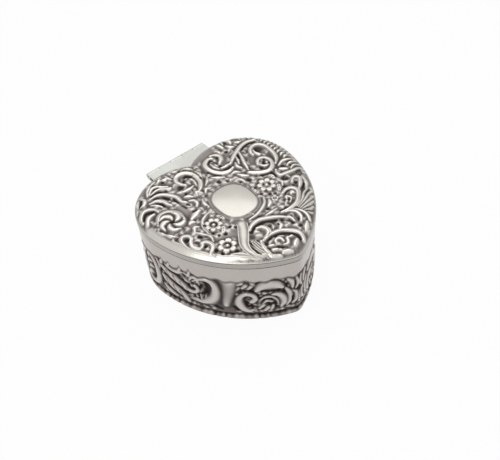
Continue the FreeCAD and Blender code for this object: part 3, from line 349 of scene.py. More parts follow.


# Lid relief, drawn one by one

# each rib: points, radii along it, height
LID_RIBS = [
    # scroll left of the notch
    ([(-12, 2.8), (-9, 4.3), (-6.2, 8), (-5.1, 12.2), (-5.5, 16.4), (-7.4, 19.8), (-10.7, 21.4),
      (-14, 20.6), (-15.8, 17.7), (-15, 14.4), (-13.6, 11.8)], (0.7, 1.3, 1.5, 1.5, 1.4, 1.1, 0.8), 1.3),
    ([(-9.4, 5.8), (-8.6, 8.6), (-7.8, 11.8), (-8.4, 13.8)], (0.6, 1.2, 1.0), 0.9),
    ([(-18, 8.6), (-16.2, 8.1), (-13, 8), (-10.7, 8.6)], (0.7, 1.2, 0.6), 1.1),
    ([(-21.4, 24.4), (-19.6, 23.6), (-17.8, 24)], (0.6, 1.3, 0.8), 1.1),
    ([(-17.6, 25.6), (-17.4, 23), (-16.4, 20.8)], (0.6, 1.0, 0.4), 1.0),
    ([(-13.6, 27.2), (-11.6, 25.6), (-9.4, 25)], (0.5, 1.2, 0.5), 0.8),
    ([(-7, 24.4), (-4.6, 22.6), (-3, 20)], (0.5, 1.1, 0.5), 0.8),
    ([(-2.8, 17.6), (-2.2, 14), (-3.2, 10.4)], (0.6, 1.2, 0.6), 0.9),
    # fan of leaves on the left lobe
    ([(-34.9, 16.4), (-30.8, 16.4), (-27, 14.3), (-24.5, 11), (-22.9, 7.4), (-22.9, 3.4), (-21.4, 0.6)],
      (0.5, 1.1, 1.2, 1.0, 0.7), 1.25),
    ([(-37, 13.5), (-32.8, 12.7), (-30.4, 9.8), (-29.8, 6.8), (-28.8, 4.4)], (0.5, 1.2, 1.2, 0.7), 1.2),
    ([(-37.2, 11.8), (-34.9, 9.8), (-33.2, 6.8)], (0.5, 0.9, 0.6), 1.0),
    ([(-33.2, 19.6), (-29.5, 22.3), (-26.6, 21.9), (-23.7, 19.4), (-21.6, 18)], (0.5, 1.0, 1.1, 0.6), 1.15),
    ([(-32.4, 18.9), (-27.4, 19.7), (-23.4, 17.2), (-20.8, 16)], (0.5, 0.9, 0.6), 1.1),
    ([(-34.5, 19.3), (-32, 22.7), (-28, 25.4), (-24.6, 26.2)], (0.5, 0.9, 0.5), 1.1),
    ([(-24.6, 24.2), (-22.4, 25.4), (-20.8, 27.4)], (0.5, 1.0, 0.6), 1.0),
    # curled leaves at the left edge
    ([(-47.6, 4.6), (-47, 7.7), (-44, 10.3), (-40.3, 10.3), (-37.4, 7.8), (-37, 5)],
      (0.6, 1.1, 1.2, 0.7), 1.2),
    ([(-47, 1.2), (-45, 3.6), (-42.8, 4.9), (-39.8, 5.2)], (0.9, 1.3, 0.8), 1.1),
    ([(-41.8, 14.8), (-39.6, 14.9), (-37.6, 17.4), (-38.2, 20)], (0.7, 1.1, 0.6), 1.1),
    ([(-43, 16), (-42, 18.8), (-40, 20.6)], (0.5, 0.9, 0.5), 1.0),
    ([(-46.2, 12.6), (-44.6, 14.4)], (0.5, 0.8), 0.9),
    # leaf that arches over the pinwheel
    ([(-43.3, -3.4), (-41.4, -0.4), (-38, 2.4), (-34, 2.2), (-31, -0.4), (-29.2, -4.2), (-29.4, -7.6)],
      (0.6, 1.1, 1.2, 1.2, 0.6), 1.15),
    # upright leaves left of the cartouche
    ([(-19.6, 4.6), (-17.8, 3.6), (-16, 1.6)], (0.6, 1.2, 0.6), 1.05),
    ([(-19.4, 0.6), (-17.4, -1.2), (-17.4, -3.8), (-19, -5.6)], (0.6, 1.1, 0.7), 1.05),
    ([(-27, -11.8), (-23.8, -10.4), (-20.2, -9.2)], (1.0, 1.8, 1.1), 1.2),
    ([(-30, -14), (-28.6, -13.4), (-27.4, -14.4)], (0.9, 1.5, 0.9), 1.1),
    ([(-27, -26), (-26.2, -21), (-23.6, -16.6), (-19, -14.2), (-15.8, -14)], (0.5, 0.9, 0.9, 0.5), 0.85),
    ([(-13.8, 0.8), (-12.4, 3.4), (-10.4, 1)], (0.6, 1.2, 0.6), 1.0),
    ([(-13.6, -3.4), (-14.8, -7), (-14.6, -10.4)], (0.6, 1.1, 0.6), 0.95),
    ([(-9, -0.6), (-7, 1.6), (-4.8, 0.6)], (0.6, 1.1, 0.6), 0.95),
    ([(-5.4, 4.2), (-2.6, 6.4), (-0.4, 9.4)], (0.5, 0.9, 0.5), 0.9),
    # scroll right of the notch, with its small second curl
    ([(15.4, 5.2), (11.7, 4.1), (7.7, 5.5), (5.5, 8.2), (4.2, 11), (3.9, 15), (5, 18.2), (8.8, 20.3),
      (11, 19.4)], (0.7, 1.4, 1.5, 1.4, 1.3, 0.9), 1.3),
    ([(11.6, 21.8), (14.2, 20.8), (15.6, 18.2), (14.6, 15.4), (12.2, 13.6)], (0.7, 1.1, 1.2, 0.8), 1.2),
    ([(7.4, 16), (7.4, 12.8), (8.6, 9.8)], (0.7, 1.1, 0.6), 0.85),
    ([(10.2, 9.3), (12.4, 8.8), (14.6, 9), (16.2, 8.6)], (0.7, 1.0, 0.6), 1.05),
    ([(1, 7), (3.6, 4.4), (6.6, 2.2)], (0.5, 1.0, 0.5), 0.95),
    # stem and branch on the right lobe
    ([(16.4, 8.8), (19.6, 11), (23, 13.1), (27.2, 15.2), (31.3, 16.7), (35.5, 16.9), (39.7, 15.1)],
      (0.7, 1.2, 1.3, 1.3, 1.0), 1.35),
    ([(26, 13), (24.4, 8.6), (22.6, 4.2), (21.4, 0.8), (20.6, -2)], (0.7, 1.0, 1.0, 0.6), 1.2),
    ([(22.4, 11.4), (21.4, 8.4), (19.8, 5.4)], (0.5, 0.9, 0.6), 1.1),
    ([(18.8, 7.4), (17.6, 4.4), (18.6, 1.6)], (0.6, 1.1, 0.6), 0.95),
    # large scroll on the right lobe: outer rib, then the inner one that ends in a bud
    ([(30.6, 5.6), (30.8, 8), (32.6, 10.6), (35.6, 11.8), (38.6, 11), (40.6, 8), (40.9, 3.5), (40, -2.3),
      (37.7, -6.6), (35, -9)], (0.8, 1.1, 1.2, 1.3, 1.2, 0.7), 1.3),
    ([(33.3, 3.5), (32.6, 6), (33.2, 8.6)], (1.2, 1.0, 0.7), 1.2),
    # its lower curl
    ([(27.2, -2.6), (28.8, -0.4), (31.3, 0.6), (33.8, -1.1), (34.7, -4), (33.8, -7.3), (31.3, -9.9),
      (28, -10.8), (24.7, -9.5), (21.4, -7), (19.2, -4.6)], (0.8, 1.1, 1.2, 1.4, 1.4, 1.2), 1.3),
    ([(28, -3.4), (28.6, -5.4), (30.8, -6.6), (32.4, -4.4)], (0.7, 1.0, 0.8), 1.0),
    # leaves over the right lobe
    ([(20.5, 28.4), (21, 25.4), (21.4, 22.6)], (0.5, 1.2, 0.9), 1.15),
    ([(23.4, 25), (24.6, 28.6), (27.4, 30)], (0.5, 0.9, 0.4), 0.9),
    ([(27, 26.8), (28, 24.8), (27.6, 22.8)], (0.8, 1.2, 0.8), 1.05),
    ([(24.2, 22.4), (25.2, 20.4), (27, 19)], (0.7, 1.2, 0.6), 1.05),
    ([(30, 21.6), (31.6, 20.4), (33.4, 20)], (0.6, 1.1, 0.6), 1.0),
    ([(31.6, 27.4), (33.8, 24.8), (34.2, 22)], (0.4, 0.9, 0.5), 1.0),
    ([(16.4, 23.4), (17.4, 21.4), (17.2, 19)], (0.6, 1.1, 0.5), 0.95),
    ([(36, 20.6), (38.2, 22), (39.4, 23.6)], (0.5, 1.0, 0.5), 1.0),
    ([(38.4, 18.6), (41, 19.8), (42.6, 20.4)], (0.5, 1.0, 0.5), 1.0),
    ([(41.8, 14), (44, 15.6), (45.6, 16.6)], (0.5, 1.0, 0.5), 1.0),
    # right side below the scroll
    ([(35.5, -11.2), (39.7, -10.1), (44.2, -11.9)], (0.7, 1.3, 0.6), 1.15),
    ([(38.6, -14.6), (41.2, -13.8), (44.8, -15)], (0.6, 1.0, 0.5), 1.1),
    ([(38.6, -18), (41.4, -16.8), (44.8, -18.2)], (0.6, 1.0, 0.5), 1.1),
    ([(31.6, -13), (30.3, -15.8), (30.8, -18.2), (34, -19), (38, -20), (42.4, -20.6), (44, -22.4)],
      (0.7, 1.2, 1.2, 1.0, 0.6), 1.2),
    ([(33.6, -14), (35.2, -15.6), (36.6, -16.8)], (0.8, 1.4, 0.9), 1.15),
    ([(31.4, -26.6), (33.4, -24.8), (35.8, -24.8), (36.6, -27.2), (33.8, -30.8), (30.4, -33.4)],
      (0.7, 1.1, 1.2, 0.7), 1.2),
    ([(38.4, -26.8), (38, -30), (35.8, -33.6), (33, -36.4)], (0.5, 1.1, 0.5), 1.05),
    ([(26.8, -20.4), (27.6, -22.6), (25.8, -25)], (0.5, 0.9, 0.5), 0.85),
    # curl under the right flowers, and the fronds that spring from its root
    ([(21.6, -29.8), (25, -28.9), (28, -30.2), (28.9, -33.5), (26.4, -37.3), (22, -40.6), (16, -41.4),
      (11.4, -40.4)], (0.8, 1.3, 1.5, 1.4, 1.3, 0.8), 1.3),
    ([(24.6, -33.4), (26, -32.6), (26.2, -34.2)], (0.9, 1.4, 0.8), 1.1),
    ([(17, -37.2), (19.6, -35.4), (21.4, -33), (22.6, -35.4), (20, -37.6)], (0.5, 0.8, 0.8, 0.5), 0.95),
    ([(20.4, -42.6), (26, -40.6), (30, -37.6), (34.6, -36)], (0.6, 1.0, 0.5), 1.15),
    ([(20.6, -43.6), (27, -41.8), (31.6, -39.6), (36, -38.4)], (0.6, 1.0, 0.5), 1.15),
    ([(20.8, -44.8), (27, -43.8), (33.4, -41.6)], (0.6, 1.0, 0.5), 1.15),
    ([(21, -46), (26, -46), (30.6, -44.6)], (0.6, 1.0, 0.5), 1.1),
    ([(21.2, -47.4), (24.4, -48.4), (27.6, -47.6)], (0.6, 0.9, 0.5), 1.05),
    ([(21.4, -49), (22.8, -50.6), (24.4, -50.8)], (0.5, 0.8, 0.4), 1.0),
    # nested ribs right of the round scroll
    ([(12.8, -41.4), (15.2, -42.6), (17.2, -45.4), (16.9, -49.2), (14.6, -52)], (0.7, 1.1, 1.1, 0.7), 1.2),
    ([(17, -42.6), (18.8, -44.4), (20, -47.8), (20, -51.6), (18.6, -54.6)], (0.6, 1.0, 1.0, 0.6), 1.15),
    ([(12, -44.6), (12.6, -47), (12, -49.6)], (0.6, 1.1, 0.6), 1.0),
    ([(16.8, -54.2), (14.6, -56.4), (12, -58.8)], (0.7, 1.3, 0.7), 1.1),
    # hooks at the lower left edge
    ([(-41, -26.6), (-41.2, -22.6), (-40.4, -19.9), (-38.2, -18.7), (-35.9, -20.1), (-35.5, -22.4),
      (-37.2, -24.4), (-38.6, -27.6), (-36.7, -31), (-34.8, -30.8), (-33.2, -29.2), (-31.2, -30.2),
      (-30.3, -33.2), (-31.8, -35.8), (-34.4, -37.2)], (0.6, 0.9, 1.0, 1.0, 1.0, 0.9, 1.1, 1.2, 0.8), 1.2),
    ([(-31.6, -20.4), (-30.2, -23), (-28.4, -26.2), (-27.4, -29), (-28.4, -32)],
      (0.5, 0.8, 0.8, 0.5), 0.95),
    ([(-31.4, -20.2), (-29.6, -17.6), (-27.6, -18.6)], (0.6, 1.2, 0.6), 1.0),
    ([(-44.4, -11), (-42.6, -14.2), (-40.8, -16.4)], (0.5, 1.2, 0.5), 1.05),
    ([(-46, -6.4), (-44.8, -10), (-43.6, -12.4)], (0.5, 1.0, 0.4), 1.0),
    ([(-43.8, -17.6), (-42.4, -22), (-40.6, -28), (-37.4, -34), (-34, -39)],
      (0.5, 1.0, 1.0, 1.0, 0.6), 0.95),
    # leaf along the lower left edge
    ([(-32.6, -40.4), (-29.6, -44.4), (-25.4, -48.6), (-21, -53), (-18.4, -56.2)],
      (0.6, 1.0, 0.9, 0.5), 1.05),
    ([(-27.4, -45), (-24, -47.4), (-21.6, -50.6), (-19.8, -54)], (0.5, 0.9, 0.5), 1.05),
    # round scroll above the tip
    ([(-9.6, -39), (-7.6, -37.4), (-4.8, -36.5), (-1.6, -36.3), (1.4, -37.6), (5.6, -40), (9.4, -43),
      (11.6, -46)], (0.7, 1.3, 1.3, 1.0, 0.6), 1.3),
    ([(-6, -40), (-3.4, -41.4), (-2.4, -44.6), (-3.8, -47.4), (-7.2, -48.6)], (0.8, 1.3, 1.5, 1.0), 1.2),
    ([(0, -46.6), (1.4, -44.6), (2, -42.8)], (0.4, 0.8, 0.4), 0.7),
    ([(2.6, -48.8), (4.6, -47.4), (5.4, -45.2)], (0.8, 1.3, 0.6), 1.15),
    # oval ring over the tip
    ([(-9, -49.2), (-6, -48.2), (-2.6, -48.3), (1.8, -49.6), (5, -52.3), (7.6, -55.7), (8.2, -59.2),
      (6.8, -62.6)], (0.7, 1.1, 1.2, 1.3, 0.9), 1.25),
    ([(-10.2, -48.6), (-11.8, -52), (-12.6, -56.4), (-11.6, -60), (-8.8, -62.2)],
      (0.7, 1.2, 1.2, 0.9), 1.2),
    ([(-5.4, -55), (-4.6, -53.4), (-2.8, -53), (-1.6, -54.4), (-1.8, -56.4)], (0.6, 0.9, 0.9, 0.7), 1.1),
    ([(-3.2, -58.4), (-1.2, -59), (0.2, -57.6), (1.2, -56), (3.8, -56.4)], (0.6, 0.9, 0.9, 0.8), 1.1),
    ([(-9, -54.2), (-7.4, -55)], (1.0, 0.8), 1.0),
    ([(-9.8, -57.4), (-8, -58.4)], (1.1, 1.0), 1.0),
    ([(-6.4, -61.6), (-4.4, -62.6), (-2.6, -63.8)], (0.9, 1.3, 0.8), 1.05),
    ([(0.6, -62.6), (2.2, -61.4), (4.2, -60)], (1.0, 1.5, 0.8), 1.05),
    # curved frame below the cartouche
    ([(-4.6, -32.8), (0.6, -32.6), (5.6, -31), (9.6, -28.6), (12, -25)], (0.6, 1.0, 1.0, 0.6), 0.95),
    ([(9.4, -32.2), (11.6, -30.8), (12.8, -28.6)], (0.8, 1.4, 0.7), 1.05),
    ([(3.6, -36.4), (7.4, -36.6), (11.4, -36.4)], (0.6, 1.1, 0.6), 0.95),
    ([(13.4, -1), (15, -4), (17.2, -6)], (0.6, 1.2, 0.6), 1.0),
    ([(10.8, 1.4), (13.6, 1.4), (15.6, -0.6)], (0.5, 1.1, 0.5), 0.95),
    ([(10.4, -3.6), (12, -5.6), (12.6, -8.4)], (0.5, 0.9, 0.5), 0.9),
    # flat leaves along the rim by the flower
    ([(-26.6, -47.6), (-23.4, -51.2), (-19, -54)], (0.5, 1.3, 0.6), 0.9),
    ([(-19.6, -53), (-15.6, -56.2), (-11.4, -58.4)], (0.5, 1.3, 0.6), 0.9),
    ([(-31.6, -42.6), (-28.8, -46.4), (-25.6, -49.6)], (0.5, 1.1, 0.6), 0.8),
]

# flat stem: points, half widths along it, height
LID_STEM = (
    [(-9.6, -32.4), (-11.4, -35.6), (-14.8, -40), (-18, -44.4), (-19.2, -48.8), (-18.8, -53.2),
     (-17.4, -57.4)], (2.7, 2.7, 2.3, 1.6, 0.9), 1.35)

# x, y, radius, petals, turn, height
LID_FLOWERS = [
    (-24.9, -39.2, 5.6, 6, 0.3, 1.35),
    (-21, -22.8, 5.4, 7, 0.5, 1.3),
    (19.6, -18.8, 5.8, 7, 0.1, 1.35),
    (15.9, -29.8, 2.4, 5, 0.4, 0.9),
]

# pointed leaves: points, half width, height, pairs of side veins
LID_LEAVES = [
    ([(12.4, -14), (11.8, -18), (12.6, -21.6)], 1.2, 0.9, 2),
    ([(25, -22), (23, -25.4), (21.4, -27.4)], 1.4, 0.95, 2),
    ([(-17.6, -26.2), (-19.4, -29.4), (-21.6, -31)], 1.5, 1.0, 2),
    ([(-16.4, -18), (-14.6, -20.6), (-14, -24)], 1.3, 0.95, 2),
    ([(-25, -18.6), (-26.4, -22), (-25.6, -26)], 1.1, 0.85, 0),
    ([(25.4, -12.6), (26.6, -15.6), (25.8, -18.4)], 1.3, 0.9, 2),
]

# dark furrows: points, radius, depth
LID_CUTS = [
    ([(-12.4, 15.2), (-11.2, 17.2), (-8.7, 17.7), (-7, 15.6)], 0.9, 0.55),
    ([(-7.3, 13.4), (-7.6, 9.6), (-9.8, 6.2)], 0.4, 0.35),
    ([(-32.8, 17.8), (-28, 17.7), (-24.6, 15.3)], 0.6, 0.5),
    ([(-32.8, 14.7), (-28.8, 13), (-27.2, 10.2), (-26, 6.6)], 0.8, 0.55),
    ([(-34, 11), (-32, 9.2), (-31.8, 6.8)], 0.7, 0.5),
    ([(-28.6, 21), (-26.4, 20.8)], 0.6, 0.4),
    ([(-25, 7.6), (-24.8, 3), (-23.9, -2.4)], 0.6, 0.5),
    ([(-46.2, 6), (-43.3, 8.4), (-38.8, 7.6)], 0.9, 0.5),
    ([(-42, 15.8), (-40.3, 17.3), (-38.8, 19)], 0.7, 0.55),
    ([(-19.4, 26.6), (-18, 29)], 0.6, 0.5),
    ([(-36.6, -6), (-35.4, -6.4)], 0.9, 0.6),
    ([(-22.8, -7.4), (-21, -8)], 0.7, 0.5),
    ([(-21.9, -0.6), (-21.4, -2.4)], 0.45, 0.7),
    ([(6.8, 17.2), (8.8, 18.8), (10, 16.8), (10.5, 11.4)], 0.6, 0.45),
    ([(12.6, 20.4), (13.8, 17.8)], 0.5, 0.45),
    ([(10.6, 7.2), (14.6, 7)], 0.6, 0.4),
    ([(2, 11.6), (3.4, 8), (5.6, 4.8)], 0.7, 0.5),
    ([(25, 25.2), (26.7, 28), (29.7, 26.8), (31.7, 23.4)], 0.9, 0.6),
    ([(23.9, 11.6), (23, 8.8)], 0.7, 0.45),
    ([(28.4, 13.8), (31.4, 15), (35.5, 15.2), (39.2, 14.2)], 0.6, 0.45),
    ([(32.6, -1.5), (30.5, -3.6), (30.1, -5), (32.6, -5.8)], 0.6, 0.5),
    ([(20.5, -9.6), (24, -11.8), (28, -13)], 0.8, 0.5),
    ([(41.2, -12.4), (44, -13.2)], 0.5, 0.4),
    ([(39.8, -16), (44, -16.4)], 0.5, 0.4),
    ([(28.4, -12.6), (28.2, -16.6)], 0.6, 0.45),
    ([(-31.8, -24.4), (-30.4, -26), (-29, -27)], 1.0, 0.6),
    ([(-14.9, -45.2), (-16.3, -49.6), (-16, -55.4)], 0.5, 0.45),
    ([(-9.8, -40.4), (-5.4, -38.8), (0, -39.2), (3.8, -41.6), (7.2, -44.2), (9.7, -46.7),
      (10.8, -49.8)], 1.1, 0.6),
    ([(0.3, -43.4), (2.4, -43)], 1.4, 0.4),
    ([(4, -46.4), (4.6, -45)], 0.4, 0.6),
    ([(-9.5, -52), (-5.3, -50.2), (0, -51.4), (4.2, -54.2), (6.2, -57.4), (6.2, -61)], 0.9, 0.5),
    ([(-11, -55), (-10.8, -58.8)], 0.6, 0.4),
    ([(-6.2, -57.3), (-4.8, -59), (-3.2, -60.4)], 0.9, 0.6),
    ([(2.4, -55.6), (3.6, -55.4)], 0.4, 0.5),
    ([(13.1, -46), (13, -48.6)], 0.5, 0.5),
    ([(15.2, -49.4), (14.4, -50.6)], 0.6, 0.4),
    ([(12.2, -39.2), (16.4, -39)], 0.6, 0.45),
    ([(22.6, -30.8), (24.6, -30.6)], 0.5, 0.45),
    ([(19.4, -34.4), (21, -36)], 0.7, 0.45),
    ([(32.2, -34), (35.4, -32)], 0.6, 0.45),
    ([(-2.6, -34.8), (3, -34.6)], 0.5, 0.35),
]

# dark holes: x, y, radius, depth
LID_PITS = [
    (-17, 12.2, 2.0, 0.55), (-17.4, 6.4, 0.8, 0.4), (-21.6, 22.8, 0.8, 0.45), (-9.8, 23.6, 0.8, 0.35),
    (-4.2, 19.8, 0.9, 0.4), (-16.8, -1.8, 0.45, 0.4), (-15.2, -9.4, 0.5, 0.5), (-10.4, -2.6, 0.9, 0.45),
    (-3.8, 10.8, 1.0, 0.45), (2, 1.4, 1.4, 0.6), (6.3, -1.2, 1.1, 0.55), (8, -5.6, 0.7, 0.5),
    (10.5, -7.3, 0.7, 0.5), (15.1, -8.8, 1.7, 0.6), (10.9, 11.2, 0.8, 0.4), (20.9, 18.7, 1.0, 0.5),
    (35.8, 7.4, 2.3, 0.55), (26.8, -6, 1.2, 0.45), (36.7, -13.2, 0.9, 0.45), (30.9, -21.3, 1.9, 0.6),
    (40, -23.4, 2.0, 0.6), (13.4, -16.5, 0.9, 0.5), (13, -22.3, 0.9, 0.5), (16.3, -25.4, 0.8, 0.5),
    (18.4, -27, 0.9, 0.5), (32.6, -28.4, 0.9, 0.4), (30.4, -29, 0.7, 0.5), (-38.2, -22.2, 1.3, 0.5),
    (-33.6, -32.4, 1.0, 0.4), (-35.4, -27, 1.2, 0.3), (-25, -20, 0.7, 0.5), (-14.4, -20.6, 0.7, 0.4),
    (-25.2, -27.4, 1.0, 0.5), (-23.6, -30.8, 0.9, 0.5), (-20.3, -32, 1.0, 0.55), (-15.6, -29.8, 0.9, 0.5),
    (-13.6, -31.8, 0.9, 0.5), (-31.2, -37.8, 1.1, 0.5), (-29.9, -41.6, 0.9, 0.5), (-23.7, -45.4, 1.1, 0.55),
    (-11.4, -43.2, 1.6, 0.3), (-11.6, -47.2, 0.6, 0.6), (7.6, -33.4, 0.9, 0.5), (12.2, -53.8, 1.2, 0.45),
    (-42, -17.4, 0.8, 0.35), (-30.6, -9, 0.8, 0.4), (26.2, -26.6, 1.2, 0.3), (21.4, -1.6, 0.8, 0.4),
    (38.2, -25.6, 0.7, 0.4),
]

# pinwheel on the left: centre, arms, first turn, each arm's line as distance and bend, its radii and height
WHEEL_X, WHEEL_Y = -36.0, -6.2
WHEEL_ARMS = 5
WHEEL_TURN = 0.9
WHEEL_LINE = ((1.8, 0.0), (4.0, 0.35), (6.0, 0.85), (7.0, 1.4))
WHEEL_RIB = ((0.7, 1.9, 1.5, 0.6), 1.25)
# striped bud beside the stem: its first stripe, their number, step, radii and height
BUD = ((-15.8, -46.6), (-16, -50), (-15.6, -54.4), (-14, -59))
BUD_STRIPES = 4
BUD_STEP = 1.25
BUD_RIB = ((0.4, 0.6, 0.6, 0.4), 1.15)
# fronds along the right edge: their number, where the first is, the step down, and the two ribs of each
FRONDS = 8
FROND_Y = 12.6
FROND_STEP = 2.9
FROND_RIBS = (
    (((42, -0.6), (43.6, 0.2), (45, -0.4)), (0.6, 1.1, 0.6), 1.0),
    (((45.4, 0.8), (47, 1.4), (48.4, 2.4)), (0.5, 0.9, 0.4), 0.95),
)

# plain raised cartouche: middle, half sizes, rise, squareness, and how its top falls off: share and power
BOSS_X, BOSS_Y = -1.4, -16.4
BOSS_HALF = (11.4, 13.2)
BOSS_RISE = 1.75
BOSS_POWER = 2.5
BOSS_FALL = (0.55, 0.8)
# by boss_reach: foot and width of its shoulder, end of its plain top, where leaves start, where dark starts
SHOULDER = (1.14, 0.34)
BOSS_TOP = 0.86
BOSS_CLEAR = 1.15
BOSS_HALO = 1.3

# smooth strip along the lower left edge, by depth, y and x: where it ends, and over how much it fades
STRIP_DEPTH = (3.6, 1.6)
STRIP_Y = (2.0, 5.0)
STRIP_X = (-26.0, 9.0)
STRIP_RISE = 0.3

# extent of the map, and how its ribs are shaped
LID_MAP = dict(x0=-51.0, x1=51.0, y0=-66.5, y1=33.0, cell=0.2, keen=0.42, wide=1.95)
# the ribs are drawn thin and fattened together, so that neighbours meet in a sharp valley
LID_FAT = 1.1
# plain ground left between the ornaments: x, y, radius
LID_PLAIN = (
    (-27, -1.5, 4.2), (18.6, 15.4, 3.0), (27.4, 5, 3.6), (-17, 12.2, 2.4), (6, 24.6, 4.4), (12, 27, 4.5),
    (35.8, 7.4, 2.6), (0.4, -43.4, 3.0), (26.4, -26.4, 2.4), (-11.4, -43.2, 2.2), (-17.2, -35, 2.6),
)
LID_FILL_STEP = 3.6
LID_SEED = 11
# no small leaves nearer the edge than this
LID_FILL_IN = 1.3
# the finished relief is pressed down to this share
LID_LOW = 0.82
# ribs at least this broad, with more points than this, get a furrow along one side
CHANNEL_FROM = 1.2
CHANNEL_POINTS = 4
# the relief starts this far inside the outline, and is full after so much more
LID_EDGE = (0.4, 0.9)


def boss_reach(x, y):
    """0 in the middle of the cartouche, 1 on its edge, more outside it."""
    return (np.abs((x - BOSS_X) / BOSS_HALF[0]) ** BOSS_POWER
            + np.abs((y - BOSS_Y) / BOSS_HALF[1]) ** BOSS_POWER)


def left_strip(x, y):
    """1 on the smooth strip along the lower left edge of the lid, 0 away from it."""
    return falling(depth_in(x, y), *STRIP_DEPTH) * falling(y, *STRIP_Y) * falling(x, *STRIP_X)


def draw_repeats(r):
    """Ornaments of the lid whose ribs follow a rule: pinwheel, bud and fronds."""
    for k in range(WHEEL_ARMS):
        turn = WHEEL_TURN + 2 * math.pi * k / WHEEL_ARMS
        r.rib([(WHEEL_X + far * math.cos(turn + bend), WHEEL_Y + far * math.sin(turn + bend))
               for far, bend in WHEEL_LINE], *WHEEL_RIB)
    for k in range(BUD_STRIPES):
        r.rib([(x + BUD_STEP * k, y) for x, y in BUD], *BUD_RIB)
    for k in range(FRONDS):
        for points, radii, high in FROND_RIBS:
            r.rib([(x, FROND_Y - FROND_STEP * k + y) for x, y in points], radii, high)


def make_lid_relief():
    r = Relief(**LID_MAP)
    for points, radii, high in LID_RIBS:
        r.rib(points, [LID_FAT * v for v in radii], high)
    for points, radii, _ in LID_RIBS:
        if max(radii) >= CHANNEL_FROM and len(points) > CHANNEL_POINTS:
            r.channel(points, radii)
    r.band(*LID_STEM)
    for leaf in LID_LEAVES:
        r.leaf(*leaf)
    draw_repeats(r)
    for flower in LID_FLOWERS:
        r.flower(*flower)
    fill_ground(r, LID_PLAIN, LID_FILL_STEP, LID_SEED,
                lambda x, y: boss_reach(x, y) > BOSS_CLEAR and depth_in(x, y) > LID_FILL_IN)
    for cut in LID_CUTS:
        r.groove(*cut)
    for pit in LID_PITS:
        r.pit(*pit)
    x, y = r.grid()
    u = boss_reach(x, y)
    shoulder = falling(u, *SHOULDER)
    shoulder = shoulder * shoulder * (3 - 2 * shoulder)
    boss = BOSS_RISE * np.clip(1 - BOSS_FALL[0] * u ** BOSS_FALL[1], 0, 1)
    r.h = LID_LOW * (shoulder * boss + (1 - shoulder) * r.h)
    strip = left_strip(x, y)
    r.h = (r.h * (1 - strip) + STRIP_RISE * strip) * rising(depth_in(x, y), *LID_EDGE)
    return r


# Meshes and materials


def place(name, data):
    """A new object, put in the scene."""
    obj = bpy.data.objects.new(name, data)
    bpy.context.scene.collection.objects.link(obj)
    return obj


def new_piece(name, verts, faces, body, node, material, tone=None):
    """A smooth piece that rides a body and stands for a CAD node; tone is a value for each point."""
    mesh = bpy.data.meshes.new(name)
    mesh.from_pydata((np.asarray(verts, float) * MM).tolist(), [], faces)
    if tone is not None:
        layer = mesh.attributes.new("tone", "FLOAT", "POINT")
        layer.data.foreach_set("value", np.asarray(tone, np.float32))
    mesh.polygons.foreach_set("use_smooth", np.ones(len(mesh.polygons), bool))
    mesh.update()
    mesh.materials.append(material)
    piece = place(name, mesh)
    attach(piece, body)
    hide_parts(node)
    return piece


class Nodes:
    """Short way to write a material's nodes."""

    def __init__(self, name):
        self.mat = bpy.data.materials.new(name)
        self.mat.use_nodes = True
        self.tree = self.mat.node_tree
        self.shader = self.tree.nodes["Principled BSDF"]
        self.coords = self.tree.nodes.new("ShaderNodeTexCoord").outputs["Object"]

    def add(self, kind, **inputs):
        node = self.tree.nodes.new(kind)
        self.fill(node, inputs)
        return node

    def fill(self, node, inputs):
        """Links or sets inputs by name, with _ for a blank."""
        for key, value in inputs.items():
            self.put(node.inputs[key.replace("_", " ")], value)

    def put(self, socket, value):
        if hasattr(value, "links"):
            self.tree.links.new(value, socket)
        else:
            socket.default_value = value

    def noise(self, scale, detail, rough=0.5, stretch=None):
        where = self.coords
        if stretch:
            where = self.add("ShaderNodeMapping", Vector=where, Scale=stretch).outputs["Vector"]
        return self.add("ShaderNodeTexNoise", Vector=where, Scale=scale, Detail=detail,
                        Roughness=rough).outputs["Fac"]

    def ramp(self, value, stops):
        node = self.add("ShaderNodeValToRGB", Fac=value)
        band = node.color_ramp
        while len(band.elements) < len(stops):
            band.elements.new(0.5)
        for element, (at, colour) in zip(band.elements, stops):
            element.position = at
            element.color = (*colour, 1.0)
        return node.outputs["Color"]

    def span(self, value, low, high, from_low=0.0, from_high=1.0):
        return self.add("ShaderNodeMapRange", Value=value, From_Min=from_low, From_Max=from_high,
                        To_Min=low, To_Max=high).outputs["Result"]

    def sum(self, a, b, share):
        """a, and a share of b."""
        node = self.add("ShaderNodeMath")
        node.operation = "MULTIPLY_ADD"
        for socket, value in zip(node.inputs, (b, share, a)):
            self.put(socket, value)
        return node.outputs[0]

    def bump(self, height, strength, distance=0.0001):
        node = self.add("ShaderNodeBump", Height=height, Strength=strength, Distance=distance)
        self.put(self.shader.inputs["Normal"], node.outputs["Normal"])

    def material(self, **inputs):
        """Sets the shader's own inputs, and hands over what was made."""
        self.fill(self.shader, inputs)
        return self.mat


def silver(name, stops, rough, tarnish=0.09):
    """Aged silver plate: colour and polish follow the tone attribute, 0 in the hollows to 1 on the crests. The
    dark of the hollows is patina; the light of the crests and swells is a painted highlight.
    """
    n = Nodes(name)
    tone = n.add("ShaderNodeAttribute")
    tone.attribute_name = "tone"
    cloud = n.noise(scale=90.0, detail=4.0)
    level = n.sum(tone.outputs["Fac"], cloud, tarnish)
    level = n.sum(level, n.noise(scale=900.0, detail=2.0), tarnish * 0.6)
    # the two noises add their mean, which is taken off again
    level = n.span(level, 0.0, 1.0, tarnish * 0.8, 1.0 + tarnish * 0.8)
    n.bump(n.noise(scale=1500.0, detail=3.0), 0.05)
    return n.material(Base_Color=n.ramp(level, stops), Metallic=1.0, Roughness=n.span(level, *rough))


